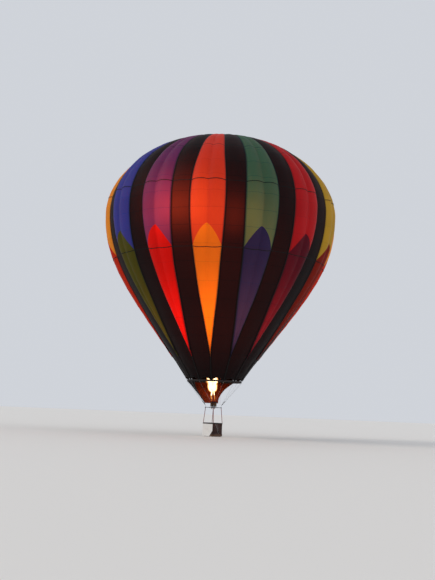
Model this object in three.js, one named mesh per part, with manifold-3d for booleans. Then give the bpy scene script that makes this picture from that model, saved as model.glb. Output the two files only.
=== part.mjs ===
// Hot air balloon with a striped envelope, scoop, twin burner and wicker basket.
// Millimetres, +Z up. The basket's sides lie along X and Y, its long sides facing -Y and +Y.
// Heights in the constants are taken from the underside of the basket's runners. The whole
// group is then lowered so that the origin is the centre of lift: the envelope's axis at its
// widest level.

import * as THREE from 'three';
import { mergeVertices } from 'three/addons/utils/BufferGeometryUtils.js';
import Module from 'manifold-3d';

const wasm = await Module();
wasm.setup();

// Envelope profile: two Bezier curves that meet at the widest level
const CROWN_H = 23860;
const EQUATOR_H = 17150;
const EQUATOR_R = 9250;
const MOUTH_H = 4270;
const MOUTH_R = 2140;
const CROWN_REACH = 5680;
const SHOULDER_REACH = 3230;
const BELLY_REACH = 4100;
const CONE_REACH = 7280;
const CONE_SLOPE = THREE.MathUtils.degToRad(54.3);

// Envelope fabric
const STRIPES = 14;
const SKIN = 10;
const SEAM_GAP = 0.6;
const VENT_R = 2050;
const UPPER_ROWS = 7;
const LOWER_ROWS = 9;
const LEAF_TIP_H = 6030;
const LEAF_TIP_HALF = 14;
const MOUTH_ARCH_H = 300;

// Seam gap between solids that meet
const FIT = 0.4;

// Crown, vent and parachute valve
const CROWN_RING_R = 170;
const CROWN_RING_W = 36;
const CROWN_RING_T = 18;
const TAPE_W = 60;
const TAPE_T = 6;
const TAPE_LAP = 90;
const TAPE_MIDWAY_R = 1100;
const VENT_RIM_W = 90;
const VENT_RIM_T = 14;
const VALVE_R = 2260;
const VALVE_EDGE_DROP = 50;
const VALVE_SIDES = 28;
const VALVE_INNER_RADII = [0, 700, 1400];

// Mouth and scoop
const HEM_H = 60;
const HEM_W = 44;
const SCOOP_FIRST_TAPE = 3.5;
const SCOOP_LAST_TAPE = 10.5;
const SCOOP_LAST_FOOT = 10;
const SCOOP_COLUMNS = 14;
const SCOOP_ROWS = 6;
const SCOOP_BOW = 0.45;
const SCOOP_FOOT_H = 2580;
const SCOOP_FOOT_HALF = 450;
const SCOOP_FOOT_EASE = 60;

// Load frame, gimbal and burner
const FRAME_H = 2240;
const FRAME_HALF = 435;
const FRAME_TUBE = 38;
const CORNER_BLOCK = 64;
const SOCKET_R = 25;
const SOCKET_REACH = 60;
const LUG_T = 14;
const LUG_SIZE = 60;
const RING_R = 345;
const RING_TUBE = 15;
const PIN_R = 10;
const PIN_PLAY = 0.9;
const CAN_R = 140;
const CAN_WALL = 8;
const CAN_SPACING = 300;
const CAN_TOP = 450;
const CAN_FOOT = 70;
const CAN_ROLL = 3;
const CAN_BAND_H = 200;
const CAN_BAND_W = 16;
const GAUGE_R = 26;
const GAUGE_T = 18;
const HANDLE_R = 8;
const HANDLE_OUT = 112;
const HANDLE_DROP = 130;
const BLOCK_X = 400;
const BLOCK_Y = 120;
const BLOCK_Z = 80;
const VALVE_BODY = 70;
const VALVE_DROP = 110;
const PIPE_LAP = 2;

// Flying wires
const WIRE_R = 5;
const WIRE_END = 30;
const SHACKLE_BAR_R = 6.5;
const SHACKLE_BOW_R = 21;
const SHACKLE_BOW_H = 80;
const SHACKLE_PIN_R = 7;
const SHACKLE_PIN_H = 20;
const SHACKLE_PIN_HALF = 36;

// Basket
const BASKET_X = 1220;
const BASKET_Y = 1070;
const BASKET_H = 1060;
const BASKET_CORNER = 130;
const WALL_T = 40;
const RIM_H = 84;
const RIM_OVER = 22;
const RIM_BEVEL = 20;
const RUNNER_H = 62;
const RUNNER_W = 70;
const FLOOR_T = 24;
const SCUFF_H = 150;
const SCUFF_T = 8;
const FOOT_HOLE_W = 170;
const FOOT_HOLE_H = 120;
const FOOT_HOLE_AT = 400;
const UPRIGHT_R = 22;
const TANK_R = 160;
const TANK_H = 760;
const TANK_GAP = 10;
const BANNER_W = 1100;
const BANNER_H = 960;
const BANNER_T = 8;
const BANNER_CUT_X = 330;
const BANNER_CUT_Z = 430;

// Sides of the round pieces
const BAR_SIDES = 8;
const WIRE_SIDES = 6;
const TUBE_SIDES = 10;
const PIN_SIDES = 12;
const GAUGE_SIDES = 16;
const DRUM_SIDES = 20;
const RING_SIDES = 24;
const CORNER_STEPS = 3;

const PITCH = (2 * Math.PI) / STRIPES;
const UP = new THREE.Vector3(0, 0, 1);

// Colours and finishes
const finish = (color, roughness, metalness = 0) =>
  new THREE.MeshStandardMaterial({ color, roughness, metalness });
const LEAF_COLOURS = [0xc81e20, 0xd2a02c, 0xf08c2c, 0x3c3e7d, 0x8c3752, 0xf2462c, 0x4a7048];
const BLACK_FABRIC = finish(0x1c1a1e, 0.75);
const WEBBING = finish(0x26262a, 0.8);
const WHITE_FABRIC = finish(0xe8e6e0, 0.7);
const SCOOP_FABRIC = finish(0x8a3018, 0.75);
const STEEL = finish(0xb8bcc0, 0.3, 0.9);
const WICKER = finish(0x6e3a22, 0.8);
const LEATHER = finish(0x181416, 0.55);
const PLYWOOD = finish(0xa87c50, 0.7);
const SLEEVE = finish(0x6e1420, 0.7);
const TANK_COVER = finish(0x7a1a1e, 0.7);

const balloon = new THREE.Group();
balloon.position.z = -EQUATOR_H;

function add(name, geometry, material, parent = balloon) {
  const mesh = new THREE.Mesh(geometry, material);
  mesh.name = name;
  parent.add(mesh);
}

// Booleans

function toSolid(geometry) {
  const bare = geometry.index ? geometry.clone() : geometry;
  bare.deleteAttribute('normal');
  bare.deleteAttribute('uv');
  const merged = mergeVertices(bare, 1e-3);
  return new wasm.Manifold(new wasm.Mesh({
    numProp: 3,
    vertProperties: new Float32Array(merged.attributes.position.array),
    triVerts: new Uint32Array(merged.index.array),
  }));
}

function fromSolid(solid) {
  const mesh = solid.getMesh();
  const geometry = new THREE.BufferGeometry();
  geometry.setAttribute('position', new THREE.BufferAttribute(new Float32Array(mesh.vertProperties), 3));
  geometry.setIndex(new THREE.BufferAttribute(new Uint32Array(mesh.triVerts), 1));
  geometry.computeVertexNormals();
  return geometry;
}

function join(pieces, cuts = []) {
  let solid = toSolid(pieces[0]);
  for (const piece of pieces.slice(1)) solid = solid.add(toSolid(piece));
  for (const cut of cuts) solid = solid.subtract(toSolid(cut));
  return fromSolid(solid);
}

// Basic shapes

function box(sizeX, sizeY, sizeZ, x, y, z) {
  return new THREE.BoxGeometry(sizeX, sizeY, sizeZ).translate(x, y, z);
}

// A straight round bar between two points
function bar(from, to, radius, sides = BAR_SIDES) {
  const along = new THREE.Vector3().subVectors(to, from);
  const turn = new THREE.Quaternion().setFromUnitVectors(
    new THREE.Vector3(0, 1, 0), along.clone().normalize());
  const middle = new THREE.Vector3().addVectors(from, to).multiplyScalar(0.5);
  return new THREE.CylinderGeometry(radius, radius, along.length(), sides)
    .applyQuaternion(turn)
    .translate(middle.x, middle.y, middle.z);
}

function atAngle(angle, radius, height) {
  return new THREE.Vector3(radius * Math.cos(angle), radius * Math.sin(angle), height);
}

// A turned piece about the Z axis, from an outline of [radius, height] points
function turned(outline, sides) {
  const points = outline.map(([radius, height]) => new THREE.Vector2(radius, height));
  return new THREE.LatheGeometry(points, sides).rotateX(Math.PI / 2);
}

// A ring with a vertex at each of the given angles and a closed section of [radius, height]
// points that runs anticlockwise when the radius points right and the height up
function ringAt(angles, section) {
  const positions = [];
  for (const angle of angles) {
    for (const [radius, height] of section) positions.push(...atAngle(angle, radius, height).toArray());
  }
  const index = [];
  const count = section.length;
  for (let i = 0; i < angles.length; i += 1) {
    const next = (i + 1) % angles.length;
    for (let j = 0; j < count; j += 1) {
      const after = (j + 1) % count;
      const a = i * count + j;
      const b = next * count + j;
      const c = next * count + after;
      const d = i * count + after;
      index.push(a, b, c, a, c, d);
    }
  }
  const geometry = new THREE.BufferGeometry();
  geometry.setAttribute('position', new THREE.Float32BufferAttribute(positions, 3));
  geometry.setIndex(index);
  return geometry;
}

// A thin closed shell between an outer and an inner grid of points, given as rows of columns
function shell(outer, inner) {
  const rows = outer.length;
  const columns = outer[0].length;
  const positions = [...outer.flat(), ...inner.flat()].flatMap((p) => p.toArray());
  const out = (i, j) => i * columns + j;
  const inn = (i, j) => rows * columns + i * columns + j;
  const index = [];
  const quad = (a, b, c, d) => index.push(a, b, c, a, c, d);
  for (let i = 0; i < rows - 1; i += 1) {
    for (let j = 0; j < columns - 1; j += 1) {
      quad(out(i, j), out(i + 1, j), out(i + 1, j + 1), out(i, j + 1));
      quad(inn(i, j), inn(i, j + 1), inn(i + 1, j + 1), inn(i + 1, j));
    }
    const last = columns - 1;
    quad(out(i, 0), inn(i, 0), inn(i + 1, 0), out(i + 1, 0));
    quad(out(i, last), out(i + 1, last), inn(i + 1, last), inn(i, last));
  }
  for (let j = 0; j < columns - 1; j += 1) {
    const last = rows - 1;
    quad(out(0, j), out(0, j + 1), inn(0, j + 1), inn(0, j));
    quad(out(last, j), inn(last, j), inn(last, j + 1), out(last, j + 1));
  }
  const geometry = new THREE.BufferGeometry();
  geometry.setAttribute('position', new THREE.Float32BufferAttribute(positions, 3));
  geometry.setIndex(index);
  geometry.computeVertexNormals();
  return geometry;
}

// Envelope profile

const upperCurve = new THREE.CubicBezierCurve(
  new THREE.Vector2(0, CROWN_H),
  new THREE.Vector2(CROWN_REACH, CROWN_H),
  new THREE.Vector2(EQUATOR_R, EQUATOR_H + SHOULDER_REACH),
  new THREE.Vector2(EQUATOR_R, EQUATOR_H));
const lowerCurve = new THREE.CubicBezierCurve(
  new THREE.Vector2(EQUATOR_R, EQUATOR_H),
  new THREE.Vector2(EQUATOR_R, EQUATOR_H - BELLY_REACH),
  new THREE.Vector2(MOUTH_R + CONE_REACH * Math.cos(CONE_SLOPE), MOUTH_H + CONE_REACH * Math.sin(CONE_SLOPE)),
  new THREE.Vector2(MOUTH_R, MOUTH_H));

// The station on a curve where one of its coordinates reaches a value
function stationWhere(curve, axis, value) {
  let low = 0;
  let high = 1;
  const rising = curve.getPoint(1)[axis] > curve.getPoint(0)[axis];
  for (let step = 0; step < 40; step += 1) {
    const middle = (low + high) / 2;
    if ((curve.getPoint(middle)[axis] < value) === rising) low = middle;
    else high = middle;
  }
  return (low + high) / 2;
}

// A row of the envelope: its profile point and the outward normal there
function rowAt(curve, station) {
  const point = curve.getPoint(station);
  const tangent = curve.getTangent(station);
  return { radius: point.x, height: point.y, outR: -tangent.y, outH: tangent.x };
}

const ventStation = stationWhere(upperCurve, 'x', VENT_R);
const tipStation = stationWhere(lowerCurve, 'y', LEAF_TIP_H);
const skinRows = [];
for (let i = 0; i < UPPER_ROWS; i += 1) {
  skinRows.push(rowAt(upperCurve, ventStation + ((1 - ventStation) * i) / UPPER_ROWS));
}
for (let i = 0; i <= LOWER_ROWS; i += 1) skinRows.push(rowAt(lowerCurve, (tipStation * i) / LOWER_ROWS));
const leafRowCount = skinRows.length;
skinRows.push(rowAt(lowerCurve, (1 + tipStation) / 2), rowAt(lowerCurve, 1));

// How the stripes run down the envelope: height in mm, half the coloured leaf's width as a share
// of the pitch, then how far the leaf's middle seam, its edge seams and the crest of the dark
// stripe lie inside the profile, in mm
const STRIPE_SECTIONS = [
  [23700, 0.25, 0, 0, 0],
  [23300, 0.26, 90, 50, 0],
  [22500, 0.27, 130, 100, 10],
  [20800, 0.28, 140, 190, 90],
  [19000, 0.31, 150, 260, 200],
  [16500, 0.32, 160, 300, 270],
  [14600, 0.305, 150, 290, 260],
  [12600, 0.275, 130, 250, 220],
  [9900, 0.225, 100, 180, 150],
  [8600, 0.17, 80, 130, 90],
  [7200, 0.095, 60, 80, 40],
  [6030, 0, 50, 60, 20],
  [4270, 0, 0, 0, 0],
];

function stripeAt(height) {
  const below = STRIPE_SECTIONS.findIndex((section) => section[0] <= height);
  if (below <= 0) return STRIPE_SECTIONS[below === 0 ? 0 : STRIPE_SECTIONS.length - 1].slice(1);
  const low = STRIPE_SECTIONS[below];
  const high = STRIPE_SECTIONS[below - 1];
  const share = (height - low[0]) / (high[0] - low[0]);
  return low.slice(1).map((value, i) => THREE.MathUtils.lerp(value, high[i + 1], share));
}

function skinPoint(row, angle, depth) {
  return atAngle(angle, row.radius - row.outR * depth, row.height - row.outH * depth);
}

// One panel of fabric: for each row a list of [angle, depth] and, on a row of its own, the profile
// point of a column. It is made a shell of the skin's thickness.
function skinPanel(rows, columnsOf) {
  const side = (below) => rows.map((row) => columnsOf(row).map(([angle, depth, own = row]) =>
    skinPoint(own, angle, depth + below)));
  return shell(side(0), side(SKIN));
}

const leafHalfAngle = (row, share) => Math.max(share * PITCH, LEAF_TIP_HALF / row.radius);

// A coloured leaf: two bulging gores with a seam down the middle
function leafPanel(centre) {
  return skinPanel(skinRows.slice(0, leafRowCount), (row) => {
    const [share, middleDepth, edgeDepth] = stripeAt(row.height);
    const half = leafHalfAngle(row, share);
    const edge = half - SEAM_GAP / 2 / row.radius;
    return [
      [centre - edge, edgeDepth],
      [centre - half / 2, 0],
      [centre, middleDepth],
      [centre + half / 2, 0],
      [centre + edge, edgeDepth],
    ];
  });
}

// A dark stripe between two leaves, which closes up with its neighbours below the leaves' tips.
// Its lower edge rises in an arch, and its two lower corners stand on the mouth's hem.
const DARK_COLUMNS = [-1, -0.5, 0, 0.5, 1];
const archRows = DARK_COLUMNS.map((across) =>
  rowAt(lowerCurve, stationWhere(lowerCurve, 'y', MOUTH_H + MOUTH_ARCH_H * (1 - across * across))));
function darkPanel(centre) {
  return skinPanel(skinRows, (row) => {
    const [share, , edgeDepth, crestDepth] = stripeAt(row.height);
    const leafHalf = row.height >= LEAF_TIP_H - 1 ? leafHalfAngle(row, share) : 0;
    const edge = PITCH / 2 - leafHalf - SEAM_GAP / 2 / row.radius;
    const atMouth = row === skinRows[skinRows.length - 1];
    return DARK_COLUMNS.map((across, i) => [
      centre + across * edge,
      THREE.MathUtils.lerp(crestDepth, edgeDepth, across * across),
      atMouth ? archRows[i] : row,
    ]);
  });
}

for (let i = 0; i < STRIPES; i += 1) {
  const colour = LEAF_COLOURS[i % LEAF_COLOURS.length];
  const number = String(i + 1).padStart(2, '0');
  add(`leaf_panel_${number}`, leafPanel(i * PITCH), finish(colour, 0.7));
  add(`dark_panel_${number}`, darkPanel((i + 0.5) * PITCH), BLACK_FABRIC);
}

// Vent rim: a taped hem that the panels' top edges end at
const ventRow = skinRows[0];
const [ventShare] = stripeAt(ventRow.height);
const ventAngles = [];
for (let i = 0; i < STRIPES; i += 1) {
  for (const share of [-ventShare, -ventShare / 2, 0, ventShare / 2, ventShare, 0.5]) {
    ventAngles.push((i + share) * PITCH);
  }
}
const rimOuter = VENT_R - SKIN * ventRow.outR - SEAM_GAP;
const rimTop = ventRow.height;
const rimUnder = rimTop - VENT_RIM_T;
add('vent_rim', ringAt(ventAngles, [
  [rimOuter, rimUnder],
  [rimOuter, rimTop],
  [rimOuter - VENT_RIM_W, rimTop],
  [rimOuter - VENT_RIM_W, rimUnder],
]), WEBBING);

// Parachute valve: a dome of fabric that air pressure holds up against the vent rim
const valveSeatR = rimOuter - VENT_RIM_W;
const valveDrop = stationHeight(valveSeatR) - rimUnder + FIT;
function stationHeight(radius) {
  return upperCurve.getPoint(stationWhere(upperCurve, 'x', radius)).y;
}
const valveRadii = [...VALVE_INNER_RADII, valveSeatR, VALVE_R];
const valveTop = valveRadii.map((radius) => [radius, stationHeight(radius) - valveDrop]);
valveTop[valveTop.length - 1][1] -= VALVE_EDGE_DROP;
const valveUnder = valveTop.map(([radius, height]) => [radius, height - SKIN]);
add('parachute_valve', turned([...valveUnder, ...valveTop.reverse()], VALVE_SIDES), BLACK_FABRIC);

// Crown ring with a load tape to each leaf's middle seam
const crownHeight = stationHeight(CROWN_RING_R) + FIT;
const tapePieces = [ringAt(
  Array.from({ length: STRIPES }, (_, i) => (i + 0.5) * PITCH),
  [
    [CROWN_RING_R + CROWN_RING_W / 2, crownHeight],
    [CROWN_RING_R + CROWN_RING_W / 2, crownHeight + CROWN_RING_T],
    [CROWN_RING_R - CROWN_RING_W / 2, crownHeight + CROWN_RING_T],
    [CROWN_RING_R - CROWN_RING_W / 2, crownHeight],
  ])];
const tapeStations = [CROWN_RING_R, TAPE_MIDWAY_R, rimOuter, VENT_R + TAPE_LAP];
for (let i = 0; i < STRIPES; i += 1) {
  const outer = [];
  const inner = [];
  for (const radius of tapeStations) {
    const height = stationHeight(radius) + FIT;
    const across = (side, z) => new THREE.Vector3(radius, (side * TAPE_W) / 2, z)
      .applyAxisAngle(UP, i * PITCH);
    outer.push([across(-1, height + TAPE_T), across(1, height + TAPE_T)]);
    inner.push([across(-1, height), across(1, height)]);
  }
  tapePieces.push(shell(outer, inner));
}
add('crown_ring_and_tapes', join(tapePieces), WEBBING);

// Mouth hem: a stiff band under the envelope's lower edge, flat below
const mouthAngles = Array.from({ length: STRIPES * 2 }, (_, i) => (i * PITCH) / 2);
const hemTop = MOUTH_H - SEAM_GAP;
const hemUnder = MOUTH_H - HEM_H;
const hemInner = MOUTH_R - SKIN - HEM_W / 2;
const hemOuter = hemInner + HEM_W;
add('mouth_hem', ringAt(mouthAngles, [
  [hemOuter, hemUnder],
  [hemOuter, hemTop],
  [hemInner, hemTop],
  [hemInner, hemUnder],
]), WHITE_FABRIC);

// Which corner of the load frame each load tape's flying wire runs to
const CORNERS = [[1, 1], [-1, 1], [-1, -1], [1, -1]];
const FANS = [
  { name: 'flying_wires_1', corner: CORNERS[0], tapes: [0, 1, 2, 3] },
  { name: 'flying_wires_2', corner: CORNERS[1], tapes: [4, 5, 6] },
  { name: 'flying_wires_3', corner: CORNERS[2], tapes: [7, 8, 9, 10] },
  { name: 'flying_wires_4', corner: CORNERS[3], tapes: [11, 12, 13] },
];
const cornerOfTape = (tape) => FANS.find(({ tapes }) => tapes.includes(tape % STRIPES)).corner;

// Scoop: a sheet inside the flying wires, from the hem down to two sides of the load frame,
// with free edges that bow inwards
const scoopTopH = hemUnder - FIT;
const scoopTopR = hemInner + SKIN;
function scoopPoint(tape, down) {
  const head = atAngle(tape * PITCH, scoopTopR, scoopTopH);
  const footTape = Math.min(tape, SCOOP_LAST_FOOT);
  const low = cornerOfTape(Math.floor(footTape));
  const high = cornerOfTape(Math.ceil(footTape));
  const share = footTape - Math.floor(footTape);
  const foot = new THREE.Vector3(
    THREE.MathUtils.lerp(low[0], high[0], share), THREE.MathUtils.lerp(low[1], high[1], share), 0)
    .multiplyScalar(SCOOP_FOOT_HALF)
    .add(atAngle(tape * PITCH, SCOOP_FOOT_EASE, SCOOP_FOOT_H));
  return head.lerp(foot, down);
}
const scoopOuter = Array.from({ length: SCOOP_ROWS + 1 }, (_, i) => {
  const down = i / SCOOP_ROWS;
  const bow = SCOOP_BOW * 4 * down * (1 - down);
  return Array.from({ length: SCOOP_COLUMNS + 1 }, (__, j) => scoopPoint(
    THREE.MathUtils.lerp(SCOOP_FIRST_TAPE + bow, SCOOP_LAST_TAPE - bow, j / SCOOP_COLUMNS), down));
});
const scoopInner = scoopOuter.map((row) => row.map((point) => {
  const shrink = 1 - SKIN / Math.hypot(point.x, point.y);
  return new THREE.Vector3(point.x * shrink, point.y * shrink, point.z);
}));
add('scoop', shell(scoopOuter, scoopInner), SCOOP_FABRIC);

// Load frame: a square of tube with corner blocks and a bearing lug on each X side
const framePieces = CORNERS.flatMap(([sx, sy]) => {
  const corner = new THREE.Vector3(sx * FRAME_HALF, sy * FRAME_HALF, FRAME_H);
  const socket = (x, y) => bar(corner, corner.clone().add(new THREE.Vector3(-x, -y, 0)), SOCKET_R, PIN_SIDES);
  return [
    box(CORNER_BLOCK, CORNER_BLOCK, CORNER_BLOCK, corner.x, corner.y, corner.z),
    socket(sx * SOCKET_REACH, 0),
    socket(0, sy * SOCKET_REACH),
  ];
});
for (const side of [-1, 1]) {
  const across = side * FRAME_HALF;
  framePieces.push(
    bar(new THREE.Vector3(-FRAME_HALF, across, FRAME_H), new THREE.Vector3(FRAME_HALF, across, FRAME_H),
      FRAME_TUBE / 2, TUBE_SIDES),
    bar(new THREE.Vector3(across, -FRAME_HALF, FRAME_H), new THREE.Vector3(across, FRAME_HALF, FRAME_H),
      FRAME_TUBE / 2, TUBE_SIDES),
    box(FRAME_TUBE + LUG_T, LUG_SIZE, LUG_SIZE, across - side * (LUG_T / 2), 0, FRAME_H));
}
const frameBore = bar(
  new THREE.Vector3(-FRAME_HALF - FRAME_TUBE, 0, FRAME_H),
  new THREE.Vector3(FRAME_HALF + FRAME_TUBE, 0, FRAME_H), PIN_R + PIN_PLAY, PIN_SIDES);
add('load_frame', join(framePieces, [frameBore]), STEEL);

// Gimbal ring: swings on the load frame about X and carries the burner about Y
const gimbal = new THREE.Group();
gimbal.position.z = FRAME_H;
balloon.add(gimbal);
const ringPieces = [new THREE.TorusGeometry(RING_R, RING_TUBE, WIRE_SIDES, RING_SIDES)];
for (const side of [-1, 1]) {
  ringPieces.push(
    bar(new THREE.Vector3(side * RING_R, 0, 0), new THREE.Vector3(side * (FRAME_HALF + FRAME_TUBE / 2), 0, 0),
      PIN_R, PIN_SIDES),
    box(LUG_SIZE, RING_TUBE * 2, LUG_SIZE, 0, side * RING_R, 0));
}
const ringBore = bar(
  new THREE.Vector3(0, -RING_R - LUG_SIZE, 0), new THREE.Vector3(0, RING_R + LUG_SIZE, 0), PIN_R + PIN_PLAY, PIN_SIDES);
add('gimbal_ring', join(ringPieces, [ringBore]), STEEL, gimbal);

// Twin burner: two open cans on a valve block
const canOutline = [
  [0, CAN_FOOT], [CAN_R - CAN_ROLL, CAN_FOOT], [CAN_R - CAN_ROLL, CAN_BAND_H], [CAN_R, CAN_BAND_H],
  [CAN_R, CAN_BAND_H + CAN_BAND_W], [CAN_R - CAN_ROLL, CAN_BAND_H + CAN_BAND_W],
  [CAN_R - CAN_ROLL, CAN_TOP - CAN_BAND_W], [CAN_R, CAN_TOP - CAN_BAND_W], [CAN_R, CAN_TOP],
  [CAN_R - CAN_ROLL - CAN_WALL, CAN_TOP], [CAN_R - CAN_ROLL - CAN_WALL, CAN_FOOT + CAN_WALL],
  [0, CAN_FOOT + CAN_WALL],
];
const burnerPieces = [box(BLOCK_X, BLOCK_Y, BLOCK_Z, 0, 0, 0)];
for (const side of [-1, 1]) {
  const x = (side * CAN_SPACING) / 2;
  burnerPieces.push(
    turned(canOutline, DRUM_SIDES).translate(x, 0, 0),
    box(VALVE_BODY, VALVE_BODY, CAN_FOOT, x, 0, CAN_FOOT / 2 + PIPE_LAP),
    box(VALVE_BODY, VALVE_BODY, VALVE_DROP, x, 0, -VALVE_DROP / 2 - BLOCK_Z / 2 + PIPE_LAP),
    bar(new THREE.Vector3(0, 0, 0), new THREE.Vector3(0, side * (RING_R + RING_TUBE), 0), PIN_R, PIN_SIDES),
    bar(new THREE.Vector3(x, 0, 0), new THREE.Vector3(x, -BLOCK_Y / 2 - GAUGE_T, 0), GAUGE_R, GAUGE_SIDES),
    bar(new THREE.Vector3(x, 0, -VALVE_DROP), new THREE.Vector3(x, -HANDLE_OUT, -HANDLE_DROP), HANDLE_R));
}
add('burner_unit', join(burnerPieces), STEEL, gimbal);

// A shackle that stands on a corner of the load frame: a ring on two legs, with a pin across
function shacklePieces(x, y, foot, turn) {
  const at = (sideways, height) => new THREE.Vector3(sideways, 0, height)
    .applyAxisAngle(UP, turn)
    .add(new THREE.Vector3(x, y, foot));
  return [
    new THREE.TorusGeometry(SHACKLE_BOW_R, SHACKLE_BAR_R, WIRE_SIDES, GAUGE_SIDES)
      .rotateX(Math.PI / 2)
      .rotateZ(turn)
      .translate(x, y, foot + SHACKLE_BOW_H),
    bar(at(-SHACKLE_BOW_R, 0), at(-SHACKLE_BOW_R, SHACKLE_BOW_H), SHACKLE_BAR_R),
    bar(at(SHACKLE_BOW_R, 0), at(SHACKLE_BOW_R, SHACKLE_BOW_H), SHACKLE_BAR_R),
    bar(at(-SHACKLE_PIN_HALF, SHACKLE_PIN_H), at(SHACKLE_PIN_HALF, SHACKLE_PIN_H), SHACKLE_PIN_R),
  ];
}

// Flying wires: a fan from each corner of the load frame to the nearest load tapes
const wireTopR = hemOuter - WIRE_END / 2;
const wireTopH = hemUnder - FIT;
const frameCornerTop = FRAME_H + CORNER_BLOCK / 2 + FIT;
for (const { name, corner, tapes } of FANS) {
  const [x, y] = [corner[0] * FRAME_HALF, corner[1] * FRAME_HALF];
  const pieces = shacklePieces(x, y, frameCornerTop, Math.atan2(-corner[1], corner[0]));
  const foot = new THREE.Vector3(x, y, frameCornerTop + SHACKLE_BOW_H + SHACKLE_BOW_R);
  for (const tape of tapes) {
    const angle = tape * PITCH;
    const head = atAngle(angle, wireTopR, wireTopH - WIRE_END / 2);
    pieces.push(
      bar(foot, head, WIRE_R, WIRE_SIDES),
      box(WIRE_END, WIRE_END, WIRE_END, 0, 0, 0).rotateZ(angle).translate(head.x, head.y, head.z));
  }
  add(name, join(pieces), STEEL);
}

// Basket

function roundedOutline(sizeX, sizeY, corner, Path = THREE.Shape) {
  const [x, y] = [sizeX / 2, sizeY / 2];
  const outline = new Path();
  outline.absarc(x - corner, y - corner, corner, 0, Math.PI / 2);
  outline.absarc(-x + corner, y - corner, corner, Math.PI / 2, Math.PI);
  outline.absarc(-x + corner, -y + corner, corner, Math.PI, Math.PI * 1.5);
  outline.absarc(x - corner, -y + corner, corner, Math.PI * 1.5, Math.PI * 2);
  outline.closePath();
  return outline;
}

// A band that follows the basket's outline, from an inner to an outer offset of it
function basketBand(inner, outer, height, bevel = 0) {
  const shape = roundedOutline(
    BASKET_X + 2 * (outer - bevel), BASKET_Y + 2 * (outer - bevel), BASKET_CORNER + outer - bevel);
  if (inner !== null) {
    shape.holes.push(roundedOutline(
      BASKET_X + 2 * (inner + bevel), BASKET_Y + 2 * (inner + bevel), BASKET_CORNER + inner + bevel, THREE.Path));
  }
  const geometry = new THREE.ExtrudeGeometry(shape, {
    depth: height - 2 * bevel,
    curveSegments: CORNER_STEPS,
    bevelEnabled: bevel > 0,
    bevelThickness: bevel,
    bevelSize: bevel,
    bevelSegments: 1,
  });
  return geometry.translate(0, 0, bevel);
}

const floorH = RUNNER_H + FIT;
const wallFoot = floorH + FLOOR_T + FIT;
const rimFoot = BASKET_H - RIM_H;
const RUNNER_ROWS = [['runner_left', -1], ['runner_middle', 0], ['runner_right', 1]];
for (const [name, side] of RUNNER_ROWS) {
  add(name, box(BASKET_X - BASKET_CORNER, RUNNER_W, RUNNER_H, 0, side * (BASKET_Y / 2 - BASKET_CORNER), RUNNER_H / 2),
    PLYWOOD);
}
add('basket_floor', basketBand(null, 0, FLOOR_T).translate(0, 0, floorH), PLYWOOD);

// Wicker wall with a foot hole through each short side
const footHole = box(BASKET_X * 2, FOOT_HOLE_W, FOOT_HOLE_H, 0, 0, FOOT_HOLE_AT);
const wallHeight = rimFoot - FIT - wallFoot;
add('basket_wall', join([basketBand(-WALL_T, 0, wallHeight).translate(0, 0, wallFoot)], [footHole]), WICKER);
add('scuff_band', basketBand(FIT, FIT + SCUFF_T, SCUFF_H).translate(0, 0, floorH), LEATHER);
add('basket_rim', basketBand(-WALL_T - RIM_OVER, RIM_OVER, RIM_H, RIM_BEVEL).translate(0, 0, rimFoot), LEATHER);

// Banner: a blank sheet over the long side that faces -Y, one lower corner of it cut off
const bannerSide = BANNER_W / 2;
const bannerOutline = new THREE.Shape();
bannerOutline.moveTo(-bannerSide, -BANNER_H);
bannerOutline.lineTo(bannerSide - BANNER_CUT_X, -BANNER_H);
bannerOutline.lineTo(bannerSide, -BANNER_H + BANNER_CUT_Z);
bannerOutline.lineTo(bannerSide, 0);
bannerOutline.lineTo(-bannerSide, 0);
bannerOutline.closePath();
add('banner', new THREE.ExtrudeGeometry(bannerOutline, { depth: BANNER_T, bevelEnabled: false })
  .rotateX(Math.PI / 2)
  .translate(0, -(BASKET_Y / 2 + 2 * FIT + SCUFF_T), rimFoot - FIT), WHITE_FABRIC);

// Padded uprights from the rim's corners to the load frame's corner blocks
const cornerInset = BASKET_CORNER * (1 - Math.SQRT1_2) + (WALL_T / 2) * Math.SQRT1_2;
const uprightFoot = new THREE.Vector2(BASKET_X / 2 - cornerInset, BASKET_Y / 2 - cornerInset);
CORNERS.forEach(([sx, sy], i) => {
  const foot = BASKET_H + FIT;
  const top = FRAME_H - CORNER_BLOCK / 2 - FIT;
  const circle = (x, y, z) => Array.from({ length: TUBE_SIDES }, (_, k) =>
    new THREE.Vector3(x, y, z).add(atAngle((k * 2 * Math.PI) / TUBE_SIDES, UPRIGHT_R, 0)));
  const low = circle(sx * uprightFoot.x, sy * uprightFoot.y, foot);
  const high = circle(sx * FRAME_HALF, sy * FRAME_HALF, top);
  const positions = [...low, ...high].flatMap((p) => p.toArray());
  const index = [];
  for (let k = 0; k < TUBE_SIDES; k += 1) {
    const next = (k + 1) % TUBE_SIDES;
    index.push(k, next, TUBE_SIDES + next, k, TUBE_SIDES + next, TUBE_SIDES + k);
    if (k > 0 && k < TUBE_SIDES - 1) {
      index.push(0, k + 1, k);
      index.push(TUBE_SIDES, TUBE_SIDES + k, TUBE_SIDES + k + 1);
    }
  }
  const geometry = new THREE.BufferGeometry();
  geometry.setAttribute('position', new THREE.Float32BufferAttribute(positions, 3));
  geometry.setIndex(index);
  add(`upright_${i + 1}`, geometry, SLEEVE);
});

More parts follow.
